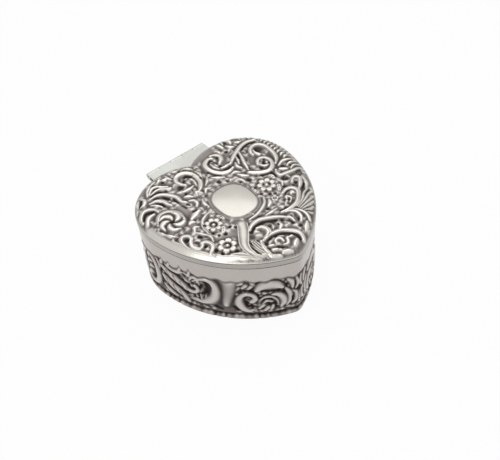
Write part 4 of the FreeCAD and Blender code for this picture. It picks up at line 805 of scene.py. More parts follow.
def plain_silver(name, low, high, rough):
    """Silver with no relief to darken it: soft clouds and fine level streaks."""
    n = Nodes(name)
    cloud = n.sum(n.noise(scale=60.0, detail=5.0), n.noise(scale=700.0, detail=3.0, stretch=(1, 1, 6)), 0.35)
    n.bump(n.noise(scale=1200.0, detail=3.0), 0.05)
    return n.material(Base_Color=n.ramp(cloud, ((0.35, low), (0.85, high))), Metallic=1.0,
                      Roughness=n.span(cloud, *rough, 0.4, 0.9))


def metal(name, low, high, rough, scale=300.0, grain=0.08):
    """Bare machined metal."""
    n = Nodes(name)
    cloud = n.sum(n.noise(scale, detail=4.0), n.noise(scale * 6, detail=2.0), 0.3)
    n.bump(n.noise(scale * 4, detail=3.0), grain)
    return n.material(Base_Color=n.ramp(cloud, ((0.4, low), (0.85, high))), Metallic=1.0,
                      Roughness=n.span(cloud, *rough, 0.4, 0.9))


def dull(name, low, high, rough, scale, stretch=None, grain=0.2, sheen=0.0):
    """Wood, board, plastic, glass or cloth."""
    n = Nodes(name)
    cloud = n.sum(n.noise(scale, detail=5.0, rough=0.6, stretch=stretch), n.noise(scale * 8, detail=2.0), 0.4)
    n.bump(cloud, grain, 0.0002)
    return n.material(Base_Color=n.ramp(cloud, ((0.4, low), (0.95, high))), Roughness=n.span(cloud, *rough),
                      Sheen_Weight=sheen, Sheen_Roughness=0.4)


# ramps from dark patina in the hollows up to pale crests, whose top stops are a painted highlight
LID_SILVER = silver("lid_silver", (
    (0.0, (0.018, 0.014, 0.012)), (0.25, (0.09, 0.077, 0.068)), (0.48, (0.27, 0.246, 0.234)),
    (0.68, (0.49, 0.47, 0.43)), (1.0, (0.69, 0.674, 0.625))), (0.42, 0.22))
WALL_SILVER = silver("wall_silver", (
    (0.0, (0.014, 0.012, 0.011)), (0.25, (0.06, 0.05, 0.046)), (0.48, (0.18, 0.158, 0.148)),
    (0.68, (0.33, 0.299, 0.279)), (1.0, (0.54, 0.5, 0.473))), (0.42, 0.24))
HINGE_SILVER = plain_silver("hinge_silver", (0.48, 0.488, 0.458), (0.59, 0.598, 0.558), (0.42, 0.55))
PIN_STEEL = metal("steel", (0.38, 0.39, 0.40), (0.56, 0.57, 0.58), (0.22, 0.4))
BRASS = metal("brass", (0.55, 0.38, 0.14), (0.76, 0.57, 0.26), (0.2, 0.38))
ZINC = metal("zinc", (0.30, 0.30, 0.31), (0.46, 0.46, 0.47), (0.4, 0.6), scale=500.0, grain=0.3)
BEECH = dull("beech", (0.36, 0.21, 0.10), (0.58, 0.38, 0.21), (0.45, 0.65), 60.0, (1, 9, 9))
BOARD = dull("board", (0.20, 0.15, 0.11), (0.34, 0.27, 0.20), (0.7, 0.9), 250.0)
NYLON = dull("nylon", (0.62, 0.60, 0.54), (0.76, 0.74, 0.69), (0.35, 0.5), 300.0, grain=0.05)
RUBY = dull("ruby_glass", (0.25, 0.01, 0.02), (0.45, 0.03, 0.05), (0.08, 0.2), 400.0, grain=0.02)
VELVET = dull("velvet", (0.10, 0.006, 0.014), (0.24, 0.018, 0.035), (0.75, 0.95), 350.0, grain=0.6, sheen=0.7)
FELT = dull("felt", (0.05, 0.10, 0.06), (0.12, 0.19, 0.12), (0.85, 1.0), 500.0, grain=0.7, sheen=0.3)


# Fills and rings

# points nearer than this are one, and triangles this little outside a border still count as inside it
MERGE = 1e-7
BORDER_SLACK = 1e-4


def strip_faces(a, b, count):
    """Quads between two closed rings of points that start at a and b, the second below the first."""
    return [(a + i, b + i, b + (i + 1) % count, a + (i + 1) % count) for i in range(count)]


def ring_faces(rows, count):
    """Quads between closed rings of count points, each ring to the next and the last to the first."""
    faces = []
    for j in range(rows):
        a, b = j * count, (j + 1) % rows * count
        faces += [(a + i, a + (i + 1) % count, b + (i + 1) % count, b + i) for i in range(count)]
    return faces


def loop_edges(count):
    return [(k, (k + 1) % count) for k in range(count)]


def fill_loop(loop, first):
    """Triangles that face down, across a closed ring of points that starts at first."""
    tris = delaunay_2d_cdt([Vector(p) for p in loop], loop_edges(len(loop)), [], 1, MERGE)[2]
    return [tuple(first + k for k in reversed(tri)) for tri in tris]


def heart_fill(border, cell, margin):
    """Grid cells inside the border, and triangles from them out to it. Border points come first."""
    x0, y0 = border.min(axis=0)
    nx, ny = ((border.max(axis=0) - (x0, y0)) / cell).astype(int) + 2
    gx, gy = np.meshgrid(x0 + np.arange(nx) * cell, y0 + np.arange(ny) * cell)
    inside = depth_in(gx, gy) > margin
    cells = inside[:-1, :-1] & inside[1:, :-1] & inside[:-1, 1:] & inside[1:, 1:]
    used = np.zeros((ny, nx), bool)
    for dj in (0, 1):
        for di in (0, 1):
            used[dj:ny - 1 + dj, di:nx - 1 + di] |= cells
    count = len(border)
    number = -np.ones((ny, nx), int)
    number[used] = count + np.arange(used.sum())
    verts = np.vstack([border, np.stack([gx[used], gy[used]], 1)])
    j, i = np.nonzero(cells)
    quads = np.stack([number[j, i], number[j, i + 1], number[j + 1, i + 1], number[j + 1, i]], 1)
    # edges of the cell block that only one cell has
    padded = np.pad(cells, 1)
    rim = []
    for dj, di, a, b in ((-1, 0, (0, 0), (0, 1)), (1, 0, (1, 1), (1, 0)),
                         (0, -1, (1, 0), (0, 0)), (0, 1, (0, 1), (1, 1))):
        jj, ii = np.nonzero(cells & ~padded[1 + dj:ny + dj, 1 + di:nx + di])
        rim += zip(number[jj + a[0], ii + a[1]].tolist(), number[jj + b[0], ii + b[1]].tolist())
    # triangles between that rim and the border
    back = list(range(count)) + sorted({k for edge in rim for k in edge})
    local = {k: n for n, k in enumerate(back)}
    edges = loop_edges(count) + [(local[a], local[b]) for a, b in rim]
    tris = delaunay_2d_cdt([Vector(verts[k]) for k in back], edges, [], 0, MERGE)[2]
    least = np.median(depth_in(*border.T)) - BORDER_SLACK
    faces = [tuple(q) for q in quads.tolist()]
    for tri in tris:
        mid = np.mean([verts[back[k]] for k in tri], axis=0)
        ci, cj = int((mid[0] - x0) / cell), int((mid[1] - y0) / cell)
        taken = 0 <= ci < nx - 1 and 0 <= cj < ny - 1 and cells[cj, ci]
        if depth_in(*mid) > least and not taken:
            faces.append(tuple(back[k] for k in tri))
    return verts, faces


# Lid

LID_STEP = 0.5
LID_CELL = 0.3
# the embossed top ends this far inside the outline, and its grid a little further in
LID_TOP_IN = 0.35
LID_GRID_IN = 0.75
# tone: its middle, weights of the height over near and over far surroundings, and their reach. Low tone in the
# hollows is patina; high tone on the crests and swells is a painted highlight.
LID_TONE = (0.5, 0.8, 0.4)
LID_REACH = (1.1, 3.0)
HALO_TONE = 0.4
BOSS_TONE = 0.7
STRIP_TONE = 0.8
# no darker than this along the very edge
EDGE_DEPTH = 0.9
EDGE_TONE = 0.56
# rings below the top: inset, height, tone
LID_RINGS = (
    # rounded edge, painted lighter as a painted highlight, and the dark furrow under it
    (0.14, RIM_Z + 0.18, 0.78), (0.0, RIM_Z - 0.1, 0.76), (0.05, RIM_Z - 0.4, 0.5),
    (0.3, RIM_Z - 0.58, 0.05), (0.3, RIM_Z - 0.74, 0.1), (0.12, RIM_Z - 0.95, 0.62),
    # skirt down to the seam, whose lip is painted light, a painted highlight, and then dark, a painted shade in
    # the gap over the case
    (0.1, RIM_Z - 1.5, 0.6), (0.12, SEAM_Z + 0.5, 0.58), (0.16, SEAM_Z + 0.34, 0.8),
    (0.3, SEAM_Z + 0.24, 0.1), (0.6, SEAM_Z, 0.0),
    # inside
    (LID_T, SEAM_Z, 0.1), (LID_T, RIM_Z - 0.8, 0.45), (2.4, TOP_Z - LID_T - 1.1, 0.45),
    (4.4, TOP_Z - LID_T - 0.3, 0.45), (6.0, TOP_Z - LID_T, 0.45),
)


def lid_tone(crest, broad, x, y):
    # patina darkens the hollows; the crests and the tops of swells get a painted highlight
    tone = LID_TONE[0] + LID_TONE[1] * crest + LID_TONE[2] * broad
    reach = boss_reach(x, y)
    tone = np.where(reach < BOSS_HALO, np.maximum(tone, HALO_TONE), tone)
    tone = np.where(reach < BOSS_TOP, BOSS_TONE, tone)
    tone = tone + left_strip(x, y) * (STRIP_TONE - tone)
    return np.where(depth_in(x, y) < EDGE_DEPTH, np.maximum(tone, EDGE_TONE), tone)


def make_lid():
    relief = make_lid_relief()
    relief.soften(*LID_REACH)
    line = outline(LID_STEP)
    flat, faces = heart_fill(ring_at(line, LID_TOP_IN), LID_CELL, LID_GRID_IN)
    x, y = flat.T
    h, crest, broad = relief.levels(x, y)
    verts = [lift(flat, RIM_Z + dome_rise(depth_in(x, y)) + h)]
    tones = [lid_tone(crest, broad, x, y)]
    count = len(line)
    starts = [0]
    # ring tones: painted highlight on the rim bead and the lip, painted shade into the seam
    for k, (inset, z, tone) in enumerate(LID_RINGS):
        verts.append(lift(ring_at(line, inset), z))
        tones.append(np.full(count, tone))
        starts.append(len(flat) + k * count)
        faces += strip_faces(starts[k], starts[k + 1], count)
    faces += fill_loop(ring_at(line, LID_RINGS[-1][0]), starts[-1])
    new_piece("lid", np.vstack(verts), faces, "lid", "lid_shell", LID_SILVER,
              np.clip(np.concatenate(tones), 0, 1))


# Wall

# s is the distance from the tip along the outline, negative on the left; z is height
# each rib: points, radii along it, height
WALL_RIBS = [
    # scroll round a dark oval, frilled inside
    ([(-59.5, 26.5), (-56, 29.4), (-51.6, 30.6), (-48, 28.4), (-46.2, 23.6), (-47, 18), (-50.4, 13.6),
      (-55.5, 11.2), (-59.4, 12.2)], (0.5, 0.8, 1.3, 2.0, 2.3, 2.5, 2.6, 1.7, 0.6), 1.35),
    ([(-52.4, 14.6), (-52.2, 17.6)], (0.9, 0.5), 1.1),
    ([(-55, 13.6), (-55.6, 17)], (0.9, 0.5), 1.1),
    ([(-57.6, 14), (-58.6, 17)], (0.8, 0.5), 1.0),
    # broad leaves that sweep down into it from the lobe
    ([(-81, 28.6), (-76.6, 25.2), (-71.8, 22.6), (-67, 20), (-62.6, 17.4), (-58.6, 17.8), (-56.8, 20.8),
      (-58.6, 22.8)], (0.7, 1.8, 2.2, 2.1, 1.6, 1.1, 1.0, 0.9), 1.3),
    ([(-77.4, 31), (-73.6, 29.6), (-69.4, 29.4), (-65.4, 30.8)], (0.6, 1.4, 1.5, 0.6), 1.15),
    ([(-81.6, 21), (-78, 17.6), (-73.6, 14.6), (-69, 12.6), (-65.4, 9.8), (-63.4, 7)],
      (0.7, 1.9, 2.3, 2.3, 1.8, 0.7), 1.25),
    ([(-81, 12), (-76.8, 9), (-71.8, 7.2)], (0.6, 1.6, 0.7), 1.15),
    ([(-61.4, 27), (-59.6, 29.6), (-56.8, 29.4), (-56.4, 26.8)], (0.6, 1.0, 1.1, 0.8), 1.15),
    ([(-65.4, 27.2), (-63.4, 25), (-61.4, 24.2)], (0.5, 1.0, 0.5), 1.0),
    ([(-62, 13.2), (-60, 11), (-58, 9.8)], (0.5, 1.0, 0.6), 1.0),
    ([(-64, 31), (-62.4, 29.4)], (0.8, 0.7), 1.0),
    # leaf tips that stand up over the edge of the frieze
    ([(-80.4, 30.4), (-79.2, 33.8)], (1.2, 0.5), 1.1),
    ([(-75.4, 30.6), (-73.8, 34.2)], (1.2, 0.5), 1.1),
    ([(-67.8, 30.6), (-66.4, 34)], (1.2, 0.5), 1.1),
    ([(-61.8, 30), (-60.8, 33.8)], (1.2, 0.5), 1.1),
    # tall leaf on the lobe
    ([(-92.4, 26.8), (-91.6, 29.8), (-88.4, 29.6), (-85.6, 25), (-84.6, 18.6), (-85.2, 12.4), (-88.4, 8.2),
      (-92.6, 8.4), (-94, 12), (-91.8, 14)], (0.7, 1.2, 1.6, 2.1, 2.3, 2.1, 1.7, 1.5, 1.3, 1.5), 1.3),
    ([(-84, 31), (-82.2, 27.6), (-82.4, 24)], (0.6, 1.4, 0.7), 1.1),
    ([(-88.4, 24.4), (-91.4, 24), (-94.4, 21.4)], (0.6, 1.5, 0.6), 1.15),
    ([(-87.6, 19.6), (-90.6, 19.6), (-93.2, 17.4)], (0.6, 1.4, 0.6), 1.15),
    # smooth upright swelling
    ([(-38.4, 30), (-38.8, 26), (-39.8, 20), (-40.8, 14.6), (-41.2, 11.6)],
      (3.3, 3.4, 2.9, 2.2, 1.2), 0.95),
    # curl with a bud at its end
    ([(-25.8, 8.4), (-29, 7.8), (-32.4, 10.6), (-34, 15.4), (-33, 19.8), (-29.8, 21.9), (-26.4, 21),
      (-24.9, 18.2), (-26.6, 15.8)], (0.5, 1.3, 1.9, 2.1, 1.7, 1.3, 1.1, 1.3, 1.5), 1.3),
    ([(-31.4, 27.4), (-29.8, 29)], (0.9, 1.1), 1.0),
    ([(-28.2, 26.8), (-26.8, 28.4)], (0.9, 1.0), 1.0),
    ([(-33.8, 29.8), (-32, 30.8)], (0.8, 1.0), 0.9),
    ([(-26.4, 30.8), (-25, 29.6)], (0.8, 0.9), 0.9),
    ([(-34.6, 25.6), (-33.4, 27.4)], (0.7, 0.9), 0.9),
    # broad lobe and the arc below it, over a basket of flowers
    ([(-23.8, 25), (-21.4, 27.6), (-17.4, 28.8), (-13.4, 28), (-10, 25.4)], (1.2, 2.4, 3.0, 2.6, 1.0), 1.3),
    ([(-15.6, 20.4), (-12.2, 19.8), (-9.6, 16.8), (-9, 12.8), (-10.8, 9)], (0.5, 1.4, 2.0, 1.8, 0.6), 1.3),
    ([(-22.4, 16.4), (-19.6, 18.6), (-16, 18.4), (-13, 15.4), (-12.2, 12)], (0.5, 0.7, 0.7, 0.5), 1.1),
    ([(-20.8, 13.4), (-18.4, 15.4), (-15.6, 14.2)], (0.5, 0.7, 0.5), 1.0),
    ([(-22.8, 9.6), (-20.8, 11.8)], (0.8, 1.1), 1.0),
    ([(-19.8, 7.4), (-18, 9.4)], (0.9, 1.1), 1.0),
    ([(-16.2, 8), (-15, 10.6)], (0.8, 0.9), 1.0),
    # leaves round the tip
    ([(-7.6, 9.6), (-5.8, 13.6), (-5.9, 19.4), (-8, 24)], (0.7, 1.5, 1.5, 0.7), 1.2),
    ([(-6.6, 30.6), (-4.2, 27.4), (-4.2, 23)], (0.7, 1.6, 0.7), 1.15),
    ([(-4.2, 9.8), (-1.9, 13.4), (-2.2, 18.4), (-4, 20.6)], (0.7, 1.5, 1.3, 0.7), 1.15),
    ([(-1.8, 30.4), (-0.7, 26), (-2.2, 22)], (0.6, 1.3, 0.7), 1.1),
    ([(0, 9.4), (0, 14), (0, 18.6)], (0.8, 1.2, 0.5), 1.05),
    # leaves between the motif and its repeat
    ([(-100, 25.6), (-102.8, 21.4), (-106.4, 19.4), (-109.4, 21.8)], (0.6, 1.6, 1.5, 0.6), 1.2),
    ([(-101, 14.6), (-103.8, 12.6), (-107, 14), (-107.6, 17.4)], (0.6, 1.6, 1.3, 0.6), 1.2),
    ([(-100.6, 29.8), (-103.8, 27.8), (-107, 25.4)], (0.6, 1.5, 0.6), 1.15),
    ([(-100.8, 8.4), (-104.4, 7.8), (-108, 9.2)], (0.6, 1.5, 0.6), 1.15),
    ([(-94.8, 30.4), (-97.4, 28.2), (-98.6, 24), (-97, 20.4)], (0.6, 1.5, 1.5, 0.7), 1.15),
    ([(-96.8, 7.6), (-98.4, 11), (-97.8, 15), (-99.6, 17.6)], (0.7, 1.5, 1.3, 0.6), 1.15),
]

# dark furrows: points, radius, depth
WALL_CUTS = [
    ([(-51, 27.2), (-50.4, 24), (-51.8, 20)], 1.8, 0.8),
    ([(-54.6, 25), (-56, 21.4)], 1.0, 0.6),
    ([(-78.6, 22), (-74, 18.8), (-69, 16.4), (-64, 14.2)], 0.9, 0.75),
    ([(-74.6, 26.8), (-69.8, 26), (-66, 23.6), (-62, 21.4)], 0.8, 0.7),
    ([(-77.4, 12.6), (-72.6, 10), (-68.4, 8.6)], 0.7, 0.6),
    ([(-77, 26.4), (-75.4, 23.4)], 0.5, 0.6),
    ([(-72.6, 24.4), (-70.8, 20.8)], 0.5, 0.65),
    ([(-68.2, 21.8), (-66.6, 18.6)], 0.5, 0.6),
    ([(-64, 19), (-63, 16.6)], 0.45, 0.5),
    ([(-78, 18.6), (-76.4, 15.4)], 0.5, 0.6),
    ([(-73.6, 16), (-71.8, 12.4)], 0.5, 0.65),
    ([(-69.2, 13.6), (-67.4, 10.4)], 0.5, 0.6),
    ([(-88.6, 26.8), (-87.6, 21.8), (-87.8, 14), (-90, 11)], 0.7, 0.6),
    ([(-81.6, 25), (-81.6, 18), (-82.4, 10)], 0.7, 0.6),
    ([(-47, 9), (-44, 7.6)], 1.1, 0.5),
    ([(-36.4, 10.6), (-34.6, 8)], 1.1, 0.6),
    ([(-30.2, 15.4), (-29.2, 12.2), (-26.6, 11.4)], 1.0, 0.7),
    ([(-32, 24.4), (-29, 25), (-26, 24.2)], 0.6, 0.7),
    ([(-25, 29.6), (-21.6, 31.8), (-17, 32.3), (-12, 31.4), (-8.6, 28.4)], 0.5, 0.5),
    ([(-20.6, 23.8), (-16.6, 23.2), (-12.6, 22.8), (-9.4, 21.4)], 0.7, 0.75),
    ([(-19.6, 16.8), (-16.4, 16.8)], 0.8, 0.6),
    ([(-14.6, 12.6), (-13.6, 10)], 1.0, 0.65),
    ([(-17.6, 12.4), (-16.6, 11.6)], 0.8, 0.5),
    ([(-23.4, 21.6), (-22.8, 18.4)], 0.7, 0.6),
    ([(-7.6, 27), (-7.4, 25)], 0.7, 0.6),
    ([(-4.3, 16), (-4.2, 12.4)], 0.6, 0.6),
    ([(-2.8, 28), (-2.6, 24.6)], 0.5, 0.6),
    ([(-95.4, 27.4), (-95.8, 23)], 0.8, 0.6),
    ([(-96, 17.4), (-95.8, 13)], 0.7, 0.6),
]

# what lies between these two comes again, turned about this middle, round the back of the lobe
REPEAT_FROM = -67.0
REPEAT_END = -7.5
REPEAT_MID = -84.0
WALL_FAT = 1.15
# plain ground beside the swelling and in the oval: s, z, radius
WALL_PLAIN = ((-41, 27, 6), (-41, 19, 6.5), (-41.5, 12, 7), (-50.8, 24, 4.4))
WALL_FILL_STEP = 3.0
WALL_FILL_Z = (6, 31)
WALL_SEED = 5

# extent of the map over the frieze, and how its ribs are shaped
WALL_MAP = dict(y0=4.0, y1=36.0, cell=0.2, keen=0.18, wide=1.8)
WALL_MAP_PAST = 2.0
# edges of the relief: over its ragged top, over the foot, and short of the notch
FRIEZE_OVER = 0.8
FRIEZE_Z = 4.8
FRIEZE_FADE = 1.4
NOTCH_CLEAR = 1.0
NOTCH_FADE = 2.0
# ragged top: mean height, its waves as height, turn a mm and phase, and where leaf tips stand over it,
# how broad and how far
FRIEZE_TOP = 31.6
FRIEZE_WAVES = ((0.6, 0.37, 0.0), (0.5, 0.83, 1.0))
LEAF_TIPS = (79.6, 74.4, 66.8, 61.0)
TIP_W = 0.9
TIP_RISE = 2.2

WALL_CELL = 0.4
# tone: its middle, weights of the height over near and over far surroundings and of the height itself. Low tone
# in the hollows is patina; the rise toward the crests and the tops of swells is a painted highlight.
WALL_TONE = (0.41, 0.62, 0.5, 0.16)
WALL_REACH = (1.2, 3.2)
# share of the drawn height that the wall gets
WALL_LOW = 0.85
# the frieze passes into the plain band from BAND_UNDER its ragged top on, over BAND_FADE, and ends at BAND_Z
BAND_UNDER = 0.6
BAND_FADE = 3.0
BAND_TONE = 0.9
BAND_Z = 35.6
# rolled foot: height, inset from its own face, tone. The tone is darker on its underside and toward its top and
# lighter on its face: painted shade and painted highlight round the roll.
FOOT = ((0.0, 0.6, 0.1), (0.4, 0.2, 0.3), (1.0, 0.0, 0.5), (1.7, -0.05, 0.66), (2.4, 0.02, 0.66),
        (2.9, 0.3, 0.42), (3.3, 0.75, 0.14), (3.7, 1.15, 0.0), (4.2, 1.3, 0.0))
# its swell: how much, where most, and how far from there none; and the breaks in its roll
SWELL = 0.24
SWELL_Z = 1.7
SWELL_H = 2.6
FOOT_BREAKS = (17.0, 23.0, 42.0, 48.0, 71.0, 78.0, 104.0, 113.0, 138.0)
BREAK_W = 0.7
BREAK_DEEP = 0.3
BREAK_TONE = 0.5
BREAK_TOP = 3
# the foot's wave also lifts its upper part, and lightens it where it swells and darkens it between: a painted
# highlight and painted shade
WAVE_Z = (2, 4)
WAVE_RISE = 0.3
WAVE_TONE = 0.42
# plain band up to the seam: height, inset from its own face, tone. Its top edge turns dark into the seam, a
# painted shade in the gap under the lid.
BAND = ((37.5, 0.0, BAND_TONE), (40.0, 0.0, BAND_TONE), (42.4, 0.0, BAND_TONE), (43.0, 0.0, BAND_TONE),
        (43.1, 0.06, 0.5), (43.2, 0.2, 0.05), (SEAM_Z, 0.45, 0.0))
# inside, thinner over the step, where the collar fits: height, inset
WALL_INSIDE = ((SEAM_Z, 1.5), (32.0, 1.5), (32.0, 2.4), (0.0, 2.4))
WALL_INSIDE_TONE = 0.4


def bumps(s, places, width):
    """1 at each of some distances from the tip, on both sides, 0 away from them."""
    return sum(np.exp(-((np.abs(s) - at) / width) ** 2) for at in places)


def frieze_top(s):
    """Ragged upper edge of the embossing, under the plain band."""
    waves = sum(high * np.sin(s * turn + phase) for high, turn, phase in FRIEZE_WAVES)
    return FRIEZE_TOP + waves + TIP_RISE * bumps(s, LEAF_TIPS, TIP_W)


def foot_wave(s):
    """0 to 1 along the foot: swells about 9 mm apart, never quite even."""
    return 0.5 + 0.3 * np.sin(s * 2 * math.pi / 9.0 + 0.8 * np.sin(s * 0.31)) + 0.2 * np.sin(s * 1.7)


def again(points):
    """The same points where the scroll comes again, or none if it does not."""
    s = [p[0] for p in points]
    if min(s) < REPEAT_FROM or max(s) > REPEAT_END:
        return []
    return [(2 * REPEAT_MID - x, z) for x, z in points]


def make_wall_relief(half):
    """Draws the left half, then lays its mirror image on the right."""
    r = Relief(x0=-half - WALL_MAP_PAST, x1=half + WALL_MAP_PAST, **WALL_MAP)
    for points, radii, high in WALL_RIBS:
        for line in filter(None, (points, again(points))):
            r.rib(line, [WALL_FAT * v for v in radii], high)
    plain = WALL_PLAIN + tuple((2 * REPEAT_MID - s, z, reach) for s, z, reach in WALL_PLAIN)
    fill_ground(r, plain, WALL_FILL_STEP, WALL_SEED,
                lambda s, z: WALL_FILL_Z[0] < z < WALL_FILL_Z[1] and s < 0, grow=0.8, rise=1.3)
    for points, size, deep in WALL_CUTS:
        for line in filter(None, (points, again(points))):
            r.groove(line, size, deep)
    s, z = r.grid()
    r.h = np.where(s > 0, r.h[:, ::-1], r.h)
    r.h *= falling(z, frieze_top(s) + FRIEZE_OVER, FRIEZE_FADE) * rising(z, FRIEZE_Z, FRIEZE_FADE)
    r.h *= falling(np.abs(s), half - NOTCH_CLEAR, NOTCH_FADE)
    return r


def make_wall():
    line = outline(WALL_CELL)
    s = along(line)
    relief = make_wall_relief(s.max())
    relief.soften(*WALL_REACH)
    verts, tones = [], []

    def row(inset, z, tone):
        verts.append(lift(ring_at(line, inset), z))
        tones.append(np.broadcast_to(np.clip(tone, 0, 1), len(line)))

    wave = foot_wave(s)
    gap = bumps(s, FOOT_BREAKS, BREAK_W)
    # the foot's tone is painted shade and highlight round its roll and along its swells
    for z, inset, tone in FOOT:
        swell = SWELL * wave * (1 - abs(z - SWELL_Z) / SWELL_H) - BREAK_DEEP * gap * (z < BREAK_TOP)
        row(FOOT_IN + inset - swell, z + WAVE_RISE * wave * (WAVE_Z[0] < z < WAVE_Z[1]),
            tone + WAVE_TONE * (wave - 0.5) - BREAK_TONE * gap)
    z = FRIEZE_Z
    while z < BAND_Z:
        h, crest, broad = relief.levels(s, np.full(len(s), z))
        above = rising(z, frieze_top(s) - BAND_UNDER, BAND_FADE)
        ground = FRIEZE_IN - (FRIEZE_IN - BAND_IN) * above
        # patina in the hollows; the rise toward crests and swell tops is a painted highlight
        tone = WALL_TONE[0] + WALL_TONE[1] * crest + WALL_TONE[2] * broad + WALL_TONE[3] * h
        row(ground - WALL_LOW * h, z, tone * (1 - above) + BAND_TONE * above)
        z += WALL_CELL
    # the band's last rows are a painted shade into the seam
    for z, inset, tone in BAND:
        row(BAND_IN + inset, z, tone)
    for z, inset in WALL_INSIDE:
        row(inset, z, WALL_INSIDE_TONE)
    faces = ring_faces(len(verts), len(line))
    new_piece("wall", np.vstack(verts), faces, "case", "case_wall", WALL_SILVER,
              np.concatenate(tones))


# Fabric

FABRIC_STEP = 0.8
FABRIC_CELL = 1.0
FABRIC_GRID_IN = 0.5
# cushion: inset, width of its rolled edge, pitch of the quilting, its height and mean, rim under it,
# and the shares of the CAD height at its edge and added in the middle
CUSHION_IN = 4.3
CUSHION_EDGE = 3.0
CUSHION_PITCH = 9
CUSHION_CROWN = 0.3
CUSHION_MEAN = 0.4
CUSHION_RIM = 0.6
CUSHION_SHARE = (0.45, 0.45)
# lining of the lid: inset, thickness, its shares at the edge, by the roll and by the quilting,
# width of the roll, pitch of the quilting, gap to the dome
CLOTH_IN = LID_T + 0.5
CLOTH_T = 0.75
CLOTH_SHARE = (0.35, 0.3, 0.3)
CLOTH_EDGE = 1.5
CLOTH_PITCH = 7
CLOTH_GAP = 0.03
# lining of the tray: how uneven its inner face is, and the turn of these waves a mm
VELVET_WAVE = 0.06
VELVET_TURN = 0.9
# felt: points along an edge, squareness, unevenness
FELT_POINTS = 9
FELT_POWER = 8
FELT_FUZZ = 0.02
FELT_WAVES = (9, 7, 5)


def heights(node):
    """Bottom and top of a CAD node."""
    low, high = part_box(node)
    return low.z / MM, high.z / MM


def quilt(x, y, pitch):
    """0 to 1 over crossed slanting seams."""
    return 0.5 + 0.25 * (np.cos((x + y) * math.pi / pitch) + np.cos((x - y) * math.pi / pitch))


def rolled(edge):
    """Quarter round, for edge from 0 to 1."""
    return np.sqrt(1 - (1 - edge) ** 2)


def fabric_heart(inset):
    """Outline, points and faces of a flat piece of cloth, and how deep inside the heart each point is."""
    line = outline(FABRIC_STEP)
    flat, faces = heart_fill(ring_at(line, inset), FABRIC_CELL, inset + FABRIC_GRID_IN)
    return line, flat, faces, depth_in(*flat.T)


def tray_cushion():
    """A stuffed heart that fills its CAD solid: flat where it rests, crowned on top."""
    z0, z1 = heights("tray_pad")
    line, flat, faces, depth = fabric_heart(CUSHION_IN)
    puff = rolled(rising(depth, CUSHION_IN, CUSHION_EDGE))
    swell = CUSHION_CROWN * puff * (quilt(*flat.T, CUSHION_PITCH) - CUSHION_MEAN)
    rise = (z1 - z0) * (CUSHION_SHARE[0] + CUSHION_SHARE[1] * puff) + swell
    outer, inner = ring_at(line, CUSHION_IN), ring_at(line, CUSHION_IN + CUSHION_RIM)
    count, n = len(line), len(flat)
    faces += strip_faces(0, n, count) + strip_faces(n, n + count, count) + fill_loop(inner, n + count)
    piece = new_piece("tray_cushion", np.vstack([lift(flat, z0 + rise), lift(outer, z0), lift(inner, z0)]),
                      faces, "case", "tray_pad", VELVET)


def lid_cloth():
    """Quilted lining that follows the inside of the dome."""
    line, flat, faces, depth = fabric_heart(CLOTH_IN)
    roof = RIM_Z - LID_T + dome_rise(depth - LID_T) - CLOTH_GAP
    edge = rising(depth, CLOTH_IN, CLOTH_EDGE)
    skin = CLOTH_T * (CLOTH_SHARE[0] + CLOTH_SHARE[1] * rolled(edge)
                      + CLOTH_SHARE[2] * edge * quilt(*flat.T, CLOTH_PITCH))
    n = len(flat)
    under = [tuple(n + k for k in reversed(f)) for f in faces]
    piece = new_piece("lid_lining_cloth", np.vstack([lift(flat, roof), lift(flat, roof - skin)]),
                      faces + under + strip_faces(0, n, len(line)), "lid", "lid_lining", VELVET)


def velvet_wall():
    """Padded lining round the tray's side, rolled over at the top."""
    z0, z1 = heights("tray_velvet")
    line = outline(FABRIC_STEP)
    # inset and height, up the outer face and over the roll, then down the inner face
    outer = ((3.32, z0 + 0.02), (3.32, z1 - 0.5), (3.42, z1 - 0.15), (3.7, z1), (3.98, z1 - 0.15))
    inner = ((4.08, z1 - 0.6), (4.0, z1 - 3), (4.1, z1 - 6), (4.0, z0 + 2.5), (4.06, z0 + 0.02))
    rows = [lift(ring_at(line, inset), z) for inset, z in outer]
    for k, (inset, z) in enumerate(inner, len(outer)):
        rows.append(lift(ring_at(line, inset - VELVET_WAVE * np.sin(along(line) * VELVET_TURN + k)), z))
    piece = new_piece("tray_lining", np.vstack(rows), ring_faces(len(rows), len(line)), "case",
                      "tray_velvet", VELVET)


def brake_felt():
    """Felt brake block with rounded edges, a little uneven."""
    low, high = (np.array(corner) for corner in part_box("brake_pad"))
    steps = np.linspace(-1, 1, FELT_POINTS)
    faces, where = [], {}
    for axis in range(3):
        for sign in (-1, 1):
            number = np.zeros((FELT_POINTS, FELT_POINTS), int)
            for a, b in np.ndindex(number.shape):
                point = tuple(np.roll((sign, steps[a], steps[b]), axis))
                number[a, b] = where.setdefault(point, len(where))
            quads = np.stack([number[:-1, :-1], number[1:, :-1], number[1:, 1:], number[:-1, 1:]], 2)
            faces += quads.reshape(-1, 4)[:, ::sign].tolist()
    cube = np.array(list(where))
    length = (np.abs(cube) ** FELT_POWER).sum(1) ** (1 / FELT_POWER)
    fuzz = 1 - FELT_FUZZ * (1 + np.sin(cube @ FELT_WAVES))
    verts = ((low + high) / 2 + (high - low) / 2 * cube * (fuzz / length)[:, None]) / MM
    piece = new_piece("brake_felt", verts, faces, "stop", "brake_pad", FELT)


make_lid()
make_wall()
tray_cushion()
lid_cloth()
velvet_wall()
brake_felt()

# Finishes of the CAD nodes

SLOT_FINISH = {"silver_plate": HINGE_SILVER, "steel": PIN_STEEL, "brass": BRASS, "zinc": ZINC,
               "velvet": VELVET, "board": BOARD, "beech": BEECH, "nylon": NYLON, "felt": FELT,
               "ruby_glass": RUBY}
for row in frame["record"]["subparts"]:
    piece = frame["nodes"][row["node"]]
    piece.data.materials.clear()
    piece.data.materials.append(SLOT_FINISH[row["material_slot"]])

